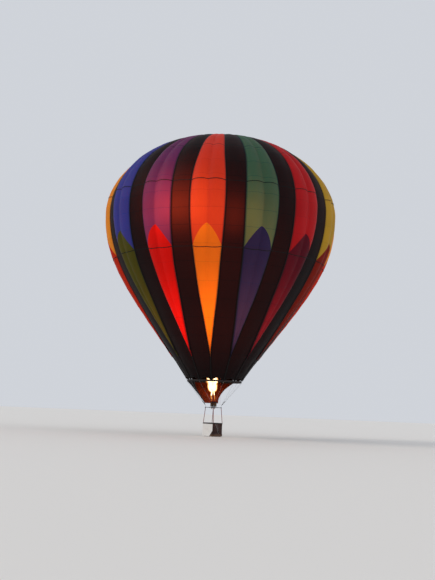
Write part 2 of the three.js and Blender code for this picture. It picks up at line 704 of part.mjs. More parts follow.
// Fuel tanks in three corners, standing on the floor
const tankOutline = [
  [0, 0], [0.88, 0], [1, 0.05], [1, 0.82], [0.88, 0.93], [0.62, 1], [0, 1],
].map(([radius, height]) => [radius * TANK_R, height * TANK_H]);
const tankX = BASKET_X / 2 - WALL_T - TANK_R - TANK_GAP;
const tankY = BASKET_Y / 2 - WALL_T - TANK_R - TANK_GAP;
[[-1, -1], [1, -1], [-1, 1]].forEach(([sx, sy], i) => {
  add(`fuel_tank_${i + 1}`, turned(tankOutline, DRUM_SIDES).translate(sx * tankX, sy * tankY, wallFoot), TANK_COVER);
});

export default balloon;
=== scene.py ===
import math

import bpy
import numpy as np
from mathutils import Matrix, Vector, noise


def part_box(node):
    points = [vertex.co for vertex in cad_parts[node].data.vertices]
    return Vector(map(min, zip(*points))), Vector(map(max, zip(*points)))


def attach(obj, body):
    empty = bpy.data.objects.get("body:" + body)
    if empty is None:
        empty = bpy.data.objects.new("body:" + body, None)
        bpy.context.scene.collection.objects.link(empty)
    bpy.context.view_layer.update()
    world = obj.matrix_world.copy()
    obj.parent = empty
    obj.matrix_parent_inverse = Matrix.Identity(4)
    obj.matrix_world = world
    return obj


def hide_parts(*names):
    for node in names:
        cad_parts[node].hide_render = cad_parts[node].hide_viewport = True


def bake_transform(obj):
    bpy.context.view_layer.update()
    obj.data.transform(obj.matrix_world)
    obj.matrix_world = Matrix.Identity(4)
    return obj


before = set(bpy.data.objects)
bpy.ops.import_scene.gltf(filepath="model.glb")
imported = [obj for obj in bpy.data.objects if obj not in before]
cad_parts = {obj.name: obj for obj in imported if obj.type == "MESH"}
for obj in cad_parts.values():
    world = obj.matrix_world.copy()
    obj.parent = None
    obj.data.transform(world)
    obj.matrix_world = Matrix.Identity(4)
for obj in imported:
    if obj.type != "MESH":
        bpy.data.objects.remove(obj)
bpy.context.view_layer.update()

# Camera and ground
# The balloon is seen from eye level, 71 m away, so the lens looks up a little. It is held with a
# slight roll. The ground is a pale floor just under the basket's runners.
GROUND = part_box("runner_left")[0].z
EYE_HEIGHT = 1.97
CAMERA_DISTANCE = 71.36
CAMERA_AZIMUTH = math.radians(45)
CAMERA_PITCH = math.radians(7.65)
CAMERA_ROLL = math.radians(2.32)
CAMERA_TURN = math.radians(0.038)
FLOOR_RADIUS = 420

camera_data = bpy.data.cameras.new("camera")
camera_data.lens = 55.94
camera_data.sensor_width = 36
camera_data.clip_end = 3000
camera = bpy.data.objects.new("camera", camera_data)
bpy.context.collection.objects.link(camera)
camera.location = (
    CAMERA_DISTANCE * math.sin(CAMERA_AZIMUTH),
    -CAMERA_DISTANCE * math.cos(CAMERA_AZIMUTH),
    GROUND + EYE_HEIGHT,
)
camera.rotation_euler = (
    Matrix.Rotation(CAMERA_AZIMUTH + CAMERA_TURN, 3, "Z")
    @ Matrix.Rotation(math.radians(90) + CAMERA_PITCH, 3, "X")
    @ Matrix.Rotation(CAMERA_ROLL, 3, "Z")
).to_euler()
bpy.context.scene.camera = camera
bpy.context.scene.view_settings.view_transform = "Standard"


class Link:
    """A number, colour or vector on its way from one shader node to the next"""

    def __init__(self, finish, socket):
        self.finish = finish
        self.socket = socket

    def __add__(self, other):
        return self.finish.math("ADD", self, other)

    def __radd__(self, other):
        return self.finish.math("ADD", other, self)

    def __sub__(self, other):
        return self.finish.math("SUBTRACT", self, other)

    def __rsub__(self, other):
        return self.finish.math("SUBTRACT", other, self)

    def __mul__(self, other):
        return self.finish.math("MULTIPLY", self, other)

    def __rmul__(self, other):
        return self.finish.math("MULTIPLY", other, self)

    def __truediv__(self, other):
        return self.finish.math("DIVIDE", self, other)


class Finish:
    """A material, built up node by node"""

    def __init__(self, name):
        self.material = bpy.data.materials.new(name)
        self.material.use_nodes = True
        self.tree = self.material.node_tree
        self.tree.nodes.clear()

    def node(self, kind, settings=None, sockets=None, output=0):
        node = self.tree.nodes.new("ShaderNode" + kind)
        for name, value in (settings or {}).items():
            setattr(node, name, value)
        for name, value in (sockets or {}).items():
            if isinstance(value, Link):
                self.tree.links.new(value.socket, node.inputs[name])
            else:
                node.inputs[name].default_value = value
        return Link(self, node.outputs[output])

    def math(self, operation, first, second=0.0):
        return self.node("Math", {"operation": operation}, {0: first, 1: second})

    def between(self, value, low, high):
        """0 below low, 1 above high, smooth in between"""
        return self.node(
            "MapRange",
            {"interpolation_type": "SMOOTHSTEP"},
            {"Value": value, "From Min": low, "From Max": high},
        )

    def mix(self, share, first, second):
        return self.node("Mix", {"data_type": "RGBA"}, {0: share, 6: first, 7: second}, 2)

    def darker(self, share, colour, by):
        """The colour, multiplied by a grey where share is 1"""
        return self.node(
            "Mix",
            {"data_type": "RGBA", "blend_type": "MULTIPLY"},
            {0: share, 6: colour, 7: (by, by, by, 1)},
            2,
        )

    def place(self, scale=(1, 1, 1), turn=(0, 0, 0)):
        """Object coordinates, stretched and turned"""
        coordinates = self.node("TexCoord", output=3)
        return self.node("Mapping", None, {"Vector": coordinates, "Scale": scale, "Rotation": turn})

    def up(self, turn=(0, 0, 0)):
        """How far up a point lies, in object coordinates that are turned so"""
        return self.node("SeparateXYZ", None, {"Vector": self.place(turn=turn)}, 2)

    def noise(self, vector, scale, detail=3.0):
        return self.node("TexNoise", None, {"Vector": vector, "Scale": scale, "Detail": detail})

    def attribute(self, name):
        return self.node("Attribute", {"attribute_name": name}, output=2)

    def bump(self, height, strength, distance):
        return self.node(
            "Bump", None, {"Height": height, "Strength": strength, "Distance": distance})

    def surface(self, colour, roughness, normal=None, metallic=0.0, **more):
        """The usual shader, which ends the material unless something is mixed over it"""
        sockets = {"Base Color": colour, "Roughness": roughness, "Metallic": metallic}
        if normal is not None:
            sockets["Normal"] = normal
        for name, value in more.items():
            sockets[name.replace("_", " ")] = value
        shader = self.node("BsdfPrincipled", None, sockets)
        self.end(shader)
        return shader

    def end(self, shader):
        for old in [n for n in self.tree.nodes if n.type == "OUTPUT_MATERIAL"]:
            self.tree.nodes.remove(old)
        end = self.tree.nodes.new("ShaderNodeOutputMaterial")
        self.tree.links.new(shader.socket, end.inputs["Surface"])


def dye(code):
    """A colour from its hexadecimal code, as light"""
    channels = [int(code[i:i + 2], 16) / 255 for i in (0, 2, 4)]
    return (*(c / 12.92 if c < 0.04045 else ((c + 0.055) / 1.055) ** 2.4 for c in channels), 1)


floor_finish = Finish("floor")
floor_finish.surface(dye("e6e4e0"), 0.9)
bpy.ops.mesh.primitive_circle_add(
    vertices=96, radius=FLOOR_RADIUS, fill_type="NGON", location=(0, 0, GROUND))
floor = bpy.context.object
floor.name = "floor"
floor.data.materials.append(floor_finish.material)

# Envelope form
# The envelope's outline is two curves that meet at its widest level. Its 14 coloured leaves are two
# bulging gores each, with a narrower dark stripe between. Every long seam lies in a valley.
CROWN = 23.86
EQUATOR = 17.15
EQUATOR_RADIUS = 9.25
MOUTH = 4.27
MOUTH_RADIUS = 2.14
CROWN_REACH = 5.68
SHOULDER_REACH = 3.23
BELLY_REACH = 4.1
CONE_REACH = 7.28
CONE_SLOPE = math.radians(54.3)
VENT_RADIUS = 2.05
STRIPES = 14
PITCH = 2 * math.pi / STRIPES
LEAF_TIP = 6.03
LEAF_TIP_HALF = 0.014

# Height above the ground, then half the leaf's width as a share of the pitch
LEAF_SHARES = np.array([
    (6.03, 0), (7.2, 0.095), (8.6, 0.17), (9.9, 0.225), (12.6, 0.275), (14.6, 0.305),
    (16.5, 0.32), (19.0, 0.31), (20.8, 0.28), (22.5, 0.27), (23.3, 0.26), (23.7, 0.25),
])
# Height above the ground, then how far the leaf's middle seam, its side seams and the middle of the
# dark stripe lie inside the outline
SEAM_DEPTHS = np.array([
    (4.27, 0, 0, 0), (6.03, 0.03, 0.06, 0.02), (7.2, 0.04, 0.08, 0.04), (8.6, 0.05, 0.13, 0.09),
    (9.9, 0.06, 0.18, 0.15), (12.6, 0.10, 0.25, 0.22), (14.6, 0.13, 0.29, 0.26), (16.5, 0.15, 0.30, 0.27),
    (19.0, 0.15, 0.26, 0.20), (20.8, 0.13, 0.19, 0.09), (22.5, 0.09, 0.10, 0.01), (23.3, 0.05, 0.05, 0),
    (23.70, 0, 0, 0),
])


def bezier(*corners):
    share = np.linspace(0, 1, 400)[:, None]
    rest = 1 - share
    a, b, c, d = (np.array(corner) for corner in corners)
    return rest**3 * a + 3 * rest**2 * share * b + 3 * rest * share**2 * c + share**3 * d


upper_curve = bezier(
    (0, CROWN), (CROWN_REACH, CROWN), (EQUATOR_RADIUS, EQUATOR + SHOULDER_REACH), (EQUATOR_RADIUS, EQUATOR))
lower_curve = bezier(
    (EQUATOR_RADIUS, EQUATOR),
    (EQUATOR_RADIUS, EQUATOR - BELLY_REACH),
    (MOUTH_RADIUS + CONE_REACH * math.cos(CONE_SLOPE), MOUTH + CONE_REACH * math.sin(CONE_SLOPE)),
    (MOUTH_RADIUS, MOUTH),
)
OUTLINE = np.vstack([upper_curve, lower_curve[1:]])
OUTLINE_RUN = np.concatenate([[0], np.cumsum(np.hypot(*np.diff(OUTLINE, axis=0).T))])
OUTLINE_SLOPE = np.gradient(OUTLINE, OUTLINE_RUN, axis=0)


def run_at_height(height):
    """How far down the cloth from the crown the outline reaches a height above the ground"""
    return np.interp(-height, -OUTLINE[:, 1], OUTLINE_RUN)


def height_at(run):
    return np.interp(run, OUTLINE_RUN, OUTLINE[:, 1])


def radius_at(run):
    return np.interp(run, OUTLINE_RUN, OUTLINE[:, 0])


def on_envelope(run, angle, depth):
    """Points so far down the cloth, at an angle round the axis, so far inside the outline"""
    outward = -np.interp(run, OUTLINE_RUN, OUTLINE_SLOPE[:, 1])
    upward = np.interp(run, OUTLINE_RUN, OUTLINE_SLOPE[:, 0])
    radius = radius_at(run) - outward * depth
    return np.stack(
        [radius * np.cos(angle), radius * np.sin(angle), height_at(run) - upward * depth + GROUND], axis=-1)


def smooth_table(at, places, values):
    """Values between a table's places, along a smooth curve"""
    slopes = np.gradient(values, places)
    low = np.clip(np.searchsorted(places, at) - 1, 0, len(places) - 2)
    span = places[low + 1] - places[low]
    s = np.clip((at - places[low]) / span, 0, 1)
    return (
        (2 * s**3 - 3 * s**2 + 1) * values[low]
        + (s**3 - 2 * s**2 + s) * span * slopes[low]
        + (3 * s**2 - 2 * s**3) * values[low + 1]
        + (s**3 - s**2) * span * slopes[low + 1]
    )


def leaf_half_angle(run):
    """Half the angle that a leaf takes up, so far down the cloth"""
    height = height_at(run)
    share = smooth_table(height, LEAF_SHARES[:, 0], LEAF_SHARES[:, 1])
    least = LEAF_TIP_HALF / np.maximum(radius_at(run), 0.5)
    return np.where(height < LEAF_TIP, 0, np.maximum(share * PITCH, least))


def skin_depth(run, angle):
    """How far inside the outline the cloth lies"""
    height = height_at(run)
    middle, side, crest = (smooth_table(height, SEAM_DEPTHS[:, 0], SEAM_DEPTHS[:, i]) for i in (1, 2, 3))
    half = leaf_half_angle(run)
    off = np.abs((angle + PITCH / 2) % PITCH - PITCH / 2)
    out = np.clip(off / np.maximum(half, 1e-6), 0, 1)
    in_leaf = middle * (1 - out) + side * out - (middle + side) / 2 * 4 * out * (1 - out)
    away = np.clip((PITCH / 2 - off) / (PITCH / 2 - half), 0, 1)
    in_dark = crest + (side - crest) * away**2
    return np.where(off < half, in_leaf, in_dark)


def select_none():
    if bpy.context.object and bpy.context.object.mode != "OBJECT":
        bpy.ops.object.mode_set(mode="OBJECT")
    bpy.ops.object.select_all(action="DESELECT")


def take(*pieces):
    """Select these alone"""
    select_none()
    for piece in pieces:
        piece.select_set(True)
    bpy.context.view_layer.objects.active = pieces[-1]


def soften(piece, angle=50):
    """Smooth shading, but for edges sharper than the angle"""
    take(piece)
    bpy.ops.object.shade_smooth_by_angle(angle=math.radians(angle))
    select_none()


def close_seams(piece):
    """Merge doubled points, and turn the faces outwards"""
    take(piece)
    bpy.ops.object.mode_set(mode="EDIT")
    bpy.ops.mesh.select_all(action="SELECT")
    bpy.ops.mesh.remove_doubles(threshold=0.0002)
    bpy.ops.mesh.normals_make_consistent(inside=False)
    bpy.ops.object.mode_set(mode="OBJECT")
    select_none()


def worked(piece, kind, **settings):
    """A modifier, applied"""
    take(piece)
    modifier = piece.modifiers.new(kind.lower(), kind)
    for name, value in settings.items():
        setattr(modifier, name, value)
    bpy.ops.object.modifier_apply(modifier=modifier.name)
    select_none()


def joined(name, pieces):
    take(*pieces)
    bpy.ops.object.join()
    whole = bpy.context.object
    whole.name = name
    select_none()
    return whole


def points_of(piece):
    """The places of a mesh's points, one to a row"""
    places = np.empty(len(piece.data.vertices) * 3)
    piece.data.vertices.foreach_get("co", places)
    return places.reshape(-1, 3)


def put_points(piece, places):
    piece.data.vertices.foreach_set("co", np.asarray(places, dtype=np.float32).ravel())
    piece.data.update()


def keep_number(piece, name, values):
    """A number at each of a mesh's points, for its finish to read"""
    kept = piece.data.attributes.new(name, "FLOAT", "POINT")
    kept.data.foreach_set("value", np.asarray(values, dtype=np.float32))


def cloth_cut(name, columns, rows, lay, numbers=None):
    """A flat cut of cloth, laid in place: lay takes shares across (-1 to 1) and down (0 to 1), and
    gives points. numbers gives further numbers to keep at each point, by name."""
    select_none()
    bpy.ops.mesh.primitive_grid_add(x_subdivisions=columns, y_subdivisions=rows, size=2)
    cut = bpy.context.object
    cut.name = name
    flat = points_of(cut)
    across, down = flat[:, 0], (1 - flat[:, 1]) / 2
    for number_name, values in (numbers(across, down) if numbers else {}).items():
        keep_number(cut, number_name, values)
    put_points(cut, lay(across, down))
    select_none()
    return cut


def wandering(points, size, seed):
    """A soft random number from -1 to 1 at each point, that changes over about that size"""
    shift = Vector((seed * 7.31, seed * 3.17, seed * 5.77))
    return np.array([noise.noise(Vector(p) / size + shift) for p in points])


def dress(material, *pieces):
    for piece in pieces:
        piece.data.materials.clear()
        piece.data.materials.append(material)
    return list(pieces)


def belongs(piece, body, *nodes, slot=None):
    """Says which body carries a piece and which nodes it stands for; slot is not used"""
    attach(piece, body)
    if nodes:
        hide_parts(*nodes)


# Envelope cloth
# Coated ripstop, sewn from panels about 1.25 m high. It is thin enough for the light inside to
# come through, less so where panels overlap. The black cloth of the cone is heavier.
CLOTH_PANEL = 1.25
FINE_SEAM = 21.5
UPPER_THROUGH = 0.24
LOWER_THROUGH = 0.42
BLACK_THROUGH = 0.19
CONE_THROUGH = 0.022
HEAVY_BELOW = 9.5
LIGHT_ABOVE = 17.5


def envelope_cloth(name, colour, glow, through, low_through=None, shine=0.12):
    """low_through is the share of light that comes through the cone's heavier cloth"""
    cloth = Finish(name)
    height = cloth.attribute("height")
    side = cloth.attribute("to_side")
    strip = cloth.math("FLOOR", height / CLOTH_PANEL)
    lot = cloth.node("TexWhiteNoise", {"noise_dimensions": "1D"}, {"W": strip})
    shade = cloth.darker(lot * 0.5, colour, 0.86)
    blotch = cloth.noise(cloth.place(), 0.45, 4.0)
    shade = cloth.darker(cloth.between(blotch, 0.35, 0.75) * 0.6, shade, 0.8)
    off_middle = cloth.math("ABSOLUTE", cloth.math("FRACT", height / CLOTH_PANEL) - 0.5)
    seam = cloth.between(off_middle, 0.486, 0.494)
    fine = 1 - cloth.between(cloth.math("ABSOLUTE", height - FINE_SEAM), 0.02, 0.04)
    # Near a side seam the colour is darkened to 0.55 as painted shade in the seam's valley; there the
    # doubled hem also lets less light through
    hem = 1 - cloth.between(side, 0.04, 0.15)
    shade = cloth.darker(seam * 0.4, shade, 0.7)
    shade = cloth.darker(fine, shade, 0.45)
    shade = cloth.darker(hem, shade, 0.55)
    pulls = cloth.noise(cloth.place((1, 1, 0.5)), 1.3, 4.0)
    weave = cloth.math("SINE", height * 900.0) * 0.02
    relief = cloth.bump(pulls + weave, 0.3, 0.05)
    body = cloth.surface(shade, 0.55, relief, Specular_IOR_Level=shine)
    behind = cloth.node("BsdfTranslucent", None, {"Color": glow, "Normal": relief})
    doubled = cloth.math("MAXIMUM", seam, cloth.math("MAXIMUM", fine, hem))
    share = (1 - doubled * 0.67) * through
    if low_through is not None:
        least = low_through / through
        light = cloth.between(height, HEAVY_BELOW, LIGHT_ABOVE)
        share = share * (least + light * (1 - least))
    cloth.end(cloth.node("MixShader", None, {0: share, 1: body, 2: behind}))
    return cloth.material


# Slot, then the upper cloth's dye and its glow, then the lower cloth's dye and its glow
LEAF_DYES = [
    ("fabric_red", "b8181e", "ff1810", "5c1628", "8c1c28"),
    ("fabric_yellow", "c49a2c", "d0a040", "8a2416", "c03018"),
    ("fabric_orange", "ff9a2c", "ffa030", "e83414", "ff5020"),
    ("fabric_blue", "30429c", "c05848", "5e5e1c", "705820"),
    ("fabric_magenta", "642c60", "c8424c", "e0140e", "e81408"),
    ("fabric_vermilion", "e0341c", "ff6428", "ea781a", "ff8010"),
    ("fabric_green", "165c48", "e8dc50", "2c2a58", "402c44"),
]
LEAF_MATERIALS = [
    [
        envelope_cloth(slot + "_upper", dye(upper), dye(upper_glow), UPPER_THROUGH),
        envelope_cloth(slot + "_lower", dye(lower), dye(lower_glow), LOWER_THROUGH),
    ]
    for slot, upper, upper_glow, lower, lower_glow in LEAF_DYES
]
DARK_MATERIAL = envelope_cloth(
    "fabric_black_cloth", dye("0b090b"), dye("8a3020"), BLACK_THROUGH, CONE_THROUGH, shine=0.07)

# Coloured leaves
# Each leaf is two gores joined down the middle, hung from the vent and drawn to a point above the
# mouth. It changes colour at a spear-shaped seam, whose point is on the middle seam.
SPEAR_POINT = 15.12
LOWER_TAPE = 13.49
UPPER_TAPE = 18.35
LEAF_COLUMNS = 28
LEAF_ROWS = 150
SPEAR_ROW = 62
SPEAR_CURVE = 1.4
LEAF_TOP_RUN = np.interp(VENT_RADIUS, upper_curve[:, 0], OUTLINE_RUN[:len(upper_curve)])
LEAF_END_RUN = run_at_height(LEAF_TIP)
BELLY = 0.014
PUCKER = 0.012
PUCKER_SIZE = 0.55
PUCKER_REACH = 0.45
SEAM_HOLD = 0.05
END_HOLD = 0.01


def held_fast(from_seam, down):
    """0 at the edges, where the cloth is sewn down, and 1 away from them"""
    from_end = np.minimum(down, 1 - down)
    return np.minimum(1, from_seam / SEAM_HOLD) * np.minimum(1, from_end / END_HOLD)


def gore_relief(points, run, from_seam, seed):
    """Cloth that bellies between its cross seams and gathers along its long seams"""
    belly = BELLY * np.abs(np.sin(math.pi * height_at(run) / CLOTH_PANEL))
    gather = PUCKER * wandering(points * (1, 1, 2.2), PUCKER_SIZE, seed) * np.exp(-from_seam / PUCKER_REACH)
    return belly - gather


def leaf_run(across, down):
    """Rows bend into the spear's shape on their way down, and out of it again"""
    spear = run_at_height(SPEAR_POINT - np.abs(across)**SPEAR_CURVE * (SPEAR_POINT - LOWER_TAPE))
    share = SPEAR_ROW / LEAF_ROWS
    above = LEAF_TOP_RUN + (spear - LEAF_TOP_RUN) * down / share
    below = spear + (LEAF_END_RUN - spear) * (down - share) / (1 - share)
    return np.where(down < share, above, below)


def leaf_lay(centre, seed):
    def lay(across, down):
        run = leaf_run(across, down)
        half = leaf_half_angle(run)
        angle = centre + across * half
        depth = skin_depth(run, angle)
        out = np.abs(across)
        from_seam = np.minimum(out, 1 - out) * half * radius_at(run)
        points = on_envelope(run, angle, depth)
        relief = gore_relief(points, run, from_seam, seed)
        return on_envelope(run, angle, depth + held_fast(from_seam, down) * relief)
    return lay


def leaf_numbers(across, down):
    run = leaf_run(across, down)
    return {
        "height": height_at(run),
        "to_side": (1 - np.abs(across)) * leaf_half_angle(run) * radius_at(run),
    }


for i in range(STRIPES):
    leaf = cloth_cut(f"leaf_{i + 1:02d}", LEAF_COLUMNS, LEAF_ROWS, leaf_lay(i * PITCH, i), leaf_numbers)
    for material in LEAF_MATERIALS[i % len(LEAF_MATERIALS)]:
        leaf.data.materials.append(material)
    # The grid's faces run row by row from its foot
    lower = np.arange(LEAF_ROWS * LEAF_COLUMNS) < (LEAF_ROWS - SPEAR_ROW) * LEAF_COLUMNS
    leaf.data.polygons.foreach_set("material_index", lower.astype(np.int32))
    soften(leaf)
    belongs(leaf, "balloon", f"leaf_panel_{i + 1:02d}", slot=LEAF_DYES[i % len(LEAF_DYES)][0])

# Dark stripes
# Black coated cloth between the leaves. Below the leaves' points the stripes meet and make up the
# whole cone, which is pleated a little towards the mouth. Their lower edges rise in arches.
DARK_COLUMNS = 14
DARK_ROWS = 170
PLEAT = 0.024
PLEAT_SIZE = 0.28
PLEAT_START = 8.5
PLEAT_GROWTH = 3.5
ARCH = 0.3
# A stripe ends a hair short of the seam, where the depth is still its own
SHORT_OF_SEAM = 0.9999


def dark_run(across, down):
    end = OUTLINE_RUN[-1] - ARCH * (1 - across**2)
    return LEAF_TOP_RUN + (end - LEAF_TOP_RUN) * down


def dark_lay(centre, seed):
    def lay(across, down):
        run = dark_run(across, down)
        half = PITCH / 2 - leaf_half_angle(run)
        angle = centre + across * half * SHORT_OF_SEAM
        depth = skin_depth(run, angle)
        from_seam = (1 - np.abs(across)) * half * radius_at(run)
        points = on_envelope(run, angle, depth)
        low = np.clip((PLEAT_START - height_at(run)) / PLEAT_GROWTH, 0, 1)
        pleat = PLEAT * low * (1 + wandering(points * (1, 1, 0.12), PLEAT_SIZE, seed + 40))
        relief = gore_relief(points, run, from_seam, seed) + pleat
        return on_envelope(run, angle, depth + held_fast(from_seam, down) * relief)
    return lay


def dark_numbers(across, down):
    run = dark_run(across, down)
    return {
        "height": height_at(run),
        "to_side": (1 - np.abs(across)) * (PITCH / 2 - leaf_half_angle(run)) * radius_at(run),
    }


for i in range(STRIPES):
    stripe = cloth_cut(
        f"dark_stripe_{i + 1:02d}", DARK_COLUMNS, DARK_ROWS, dark_lay((i + 0.5) * PITCH, i), dark_numbers)
    dress(DARK_MATERIAL, stripe)
    soften(stripe)
    belongs(stripe, "balloon", f"dark_panel_{i + 1:02d}", slot="fabric_black")

# Load tapes
# Flat polyester webbing, sewn over each long seam from the vent to the mouth, and two rings of it
# round the envelope. Bias tape binds the arches at the mouth.
TAPE_WIDTH = 0.05
TAPE_THICKNESS = 0.003
TAPE_LIFT = 0.006
RING_TAPE_LIFT = 0.014
ARCH_TAPE_WIDTH = 0.04
ARCH_TAPE_THICKNESS = 0.006
ARCH_TAPE_LIFT = 0.004

webbing = Finish("webbing_finish")
rib = webbing.math("SINE", webbing.attribute("along") * 1600.0)
fuzz = webbing.noise(webbing.place(), 180.0, 2.0)
webbing.surface(
    webbing.darker(webbing.between(fuzz, 0.3, 0.7), dye("0e0c0d"), 0.6), 0.7,
    webbing.bump(rib * 0.3 + fuzz, 0.4, 0.0015), Specular_IOR_Level=0.25)


def webbing_strip(name, rows, lay, along):
    strip = cloth_cut(name, 2, rows, lay, lambda across, down: {"along": along(down)})
    worked(strip, "SOLIDIFY", thickness=TAPE_THICKNESS, offset=-1)
    dress(webbing.material, strip)
    return strip


def long_tape(angle_at, first, last, rows):
    def lay(across, down):
        run = first + (last - first) * down
        angle = angle_at(run) + across * TAPE_WIDTH / 2 / radius_at(run)
        return on_envelope(run, angle, skin_depth(run, angle) - TAPE_LIFT)
    return webbing_strip("long_tape", rows, lay, lambda down: first + (last - first) * down)


tapes = []
for i in range(STRIPES):
    for hand in (-1, 1):
        tapes.append(long_tape(
            lambda run: i * PITCH + hand * leaf_half_angle(run), LEAF_TOP_RUN, LEAF_END_RUN, 110))
    tapes.append(long_tape(lambda run: i * PITCH, LEAF_END_RUN - 0.1, OUTLINE_RUN[-1], 16))
for tape_height in (UPPER_TAPE, LOWER_TAPE):
    ring_run = run_at_height(tape_height)
    ring = cloth_cut(
        "ring_tape", 560, 2,
        lambda across, down: on_envelope(
            ring_run + (down - 0.5) * TAPE_WIDTH, math.pi * across,
            skin_depth(ring_run, math.pi * across) - RING_TAPE_LIFT),
        lambda across, down: {"along": across * 29})
    close_seams(ring)
    worked(ring, "SOLIDIFY", thickness=TAPE_THICKNESS, offset=-1)
    dress(webbing.material, ring)
    tapes.append(ring)
for i in range(STRIPES):
    def arch_lay(across, down):
        run = OUTLINE_RUN[-1] - ARCH * (1 - across**2) + (down - 0.6) * ARCH_TAPE_WIDTH
        angle = (i + 0.5) * PITCH + across * PITCH / 2
        return on_envelope(run, angle, skin_depth(run, angle) - ARCH_TAPE_LIFT)
    arch = cloth_cut("arch_tape", 24, 2, arch_lay, lambda across, down: {"along": across * 0.6})
    worked(arch, "SOLIDIFY", thickness=ARCH_TAPE_THICKNESS, offset=-1)
    dress(webbing.material, arch)
    tapes.append(arch)
load_tapes = joined("load_tapes", tapes)
soften(load_tapes)
belongs(load_tapes, "balloon", slot="webbing")

# Vent and crown
# The vent's edge is a rolled band. The parachute valve, a dome of cloth, is pressed up against it
# from inside. A ring of light alloy and 14 tapes hold the valve down over the opening.
VALVE_RADIUS = 2.26
VALVE_EDGE_DROP = 0.05
VALVE_GAP = 0.002
VALVE_FLUTE = 0.014
VALVE_EDGE_FLUTE = 0.01
VENT_BAND = 0.09
VENT_BAND_THICKNESS = 0.014


def crown_height(radius):
    """The outline's height above the ground at a radius near the crown"""
    return np.interp(radius, upper_curve[:, 0], upper_curve[:, 1]) + GROUND


def around(name, columns, rows, section):
    """A closed ring: section takes the angle round the axis and a turn round the ring's own section,
    and gives a radius and a height"""
    def lay(across, down):
        angle = math.pi * across
        radius, height = section(angle, 2 * math.pi * down)
        return np.stack([radius * np.cos(angle), radius * np.sin(angle), height], axis=-1)
    ring = cloth_cut(name, columns, rows, lay)
    close_seams(ring)
    return ring


def squared(turn, width, height):
    """A rounded, nearly square section"""
    power = 0.55
    return (
        width / 2 * np.sign(np.cos(turn)) * np.abs(np.cos(turn))**power,
        height / 2 * np.sign(np.sin(turn)) * np.abs(np.sin(turn))**power,
    )


def vent_section(angle, turn):
    out, up = squared(turn, VENT_BAND, VENT_BAND_THICKNESS)
    return VENT_RADIUS - VENT_BAND / 2 + out, crown_height(VENT_RADIUS) - VENT_BAND_THICKNESS / 2 + up


vent_band = around("vent_band", 168, 12, vent_section)
dress(webbing.material, vent_band)
soften(vent_band)
belongs(vent_band, "balloon", "vent_rim", slot="webbing")

valve_seat = VENT_RADIUS - VENT_BAND
valve_drop = crown_height(valve_seat) - crown_height(VENT_RADIUS) + VENT_BAND_THICKNESS + VALVE_GAP


def valve_lay(across, down):
    radius = VALVE_RADIUS * down
    angle = math.pi * across
    edge = np.clip((radius - valve_seat) / (VALVE_RADIUS - valve_seat), 0, 1)
    inner_flute = VALVE_FLUTE * down**2 * (1 - edge) * np.abs(np.sin(STRIPES * angle))
    flute = inner_flute + VALVE_EDGE_FLUTE * edge * np.sin(2 * STRIPES * angle)**2
    height = crown_height(radius) - valve_drop - VALVE_EDGE_DROP * edge - flute
    return np.stack([radius * np.cos(angle), radius * np.sin(angle), height], axis=-1)


valve = cloth_cut(
    "valve_cloth", 168, 30, valve_lay,
    lambda across, down: {"height": down * VALVE_RADIUS, "to_side": 1 - down})
close_seams(valve)
dress(envelope_cloth("valve_dark_cloth", dye("1c1a1e"), dye("3a1610"), 0.3), valve)
soften(valve)
belongs(valve, "valve", "parachute_valve", slot="valve_fabric")

alloy = Finish("light_alloy")
scratches = alloy.noise(alloy.place((1, 1, 8)), 60.0, 4.0)
alloy.surface(
    alloy.mix(scratches, dye("8c9094"), dye("b8bcc0")), 0.34 + scratches * 0.2,
    alloy.bump(scratches, 0.2, 0.001), metallic=1.0)

CROWN_RING_RADIUS = 0.17
CROWN_RING_BAR = 0.011
CROWN_RING_LIFT = 0.013
CROWN_TAPE_END = VENT_RADIUS + 0.09
CROWN_TAPE_LIFT = 0.012


def hoop(radius, bar, place, sides, turn=(0, 0, 0)):
    """A ring of round bar: sides are counted round the ring, then round the bar"""
    select_none()
    bpy.ops.mesh.primitive_torus_add(
        major_segments=sides[0], minor_segments=sides[1], major_radius=radius, minor_radius=bar,
        location=place, rotation=turn)
    piece = bpy.context.object
    take(piece)
    bpy.ops.object.transform_apply()
    return piece


crown_ring = hoop(
    CROWN_RING_RADIUS, CROWN_RING_BAR,
    (0, 0, float(crown_height(CROWN_RING_RADIUS)) + CROWN_RING_LIFT), (72, 16))
dress(alloy.material, crown_ring)
crown_pieces = [crown_ring]
for i in range(STRIPES):
    def crown_lay(across, down):
        radius = CROWN_RING_RADIUS + (CROWN_TAPE_END - CROWN_RING_RADIUS) * down
        sideways = across * TAPE_WIDTH / 2
        angle = i * PITCH
        return np.stack([
            radius * math.cos(angle) - sideways * math.sin(angle),
            radius * math.sin(angle) + sideways * math.cos(angle),
            crown_height(radius) + CROWN_TAPE_LIFT + CROWN_TAPE_LIFT * (1 - down)**12], axis=-1)
    crown_pieces.append(webbing_strip("crown_tape", 28, crown_lay, lambda down: down * 2))
crown = joined("crown_ring", crown_pieces)
soften(crown)
belongs(crown, "balloon", "crown_ring_and_tapes", slot="webbing")

# Pull line
# A thin red line runs from the valve's middle down through the mouth, and ends beside the burner,
# clear of its swing. It is held taut.
LINE_FOOT = (0.38, 0.34, 2.45)
LINE_RADIUS = 0.005


def tube(name, runs, radius, sides=2, closed=False):
    """Round bars or lines through lists of points"""
    select_none()
    curve = bpy.data.curves.new(name, "CURVE")
    curve.dimensions = "3D"
    curve.bevel_depth = radius
    curve.bevel_resolution = sides
    curve.use_fill_caps = True
    for run in runs:
        points = np.asarray(run, dtype=float)
        spline = curve.splines.new("POLY")
        spline.points.add(len(points) - 1)
        spline.points.foreach_set("co", np.hstack([points, np.ones((len(points), 1))]).ravel())
        spline.use_cyclic_u = closed
    piece = bpy.data.objects.new(name, curve)
    bpy.context.collection.objects.link(piece)
    take(piece)
    bpy.ops.object.convert(target="MESH")
    piece = bpy.context.object
    soften(piece)
    return piece


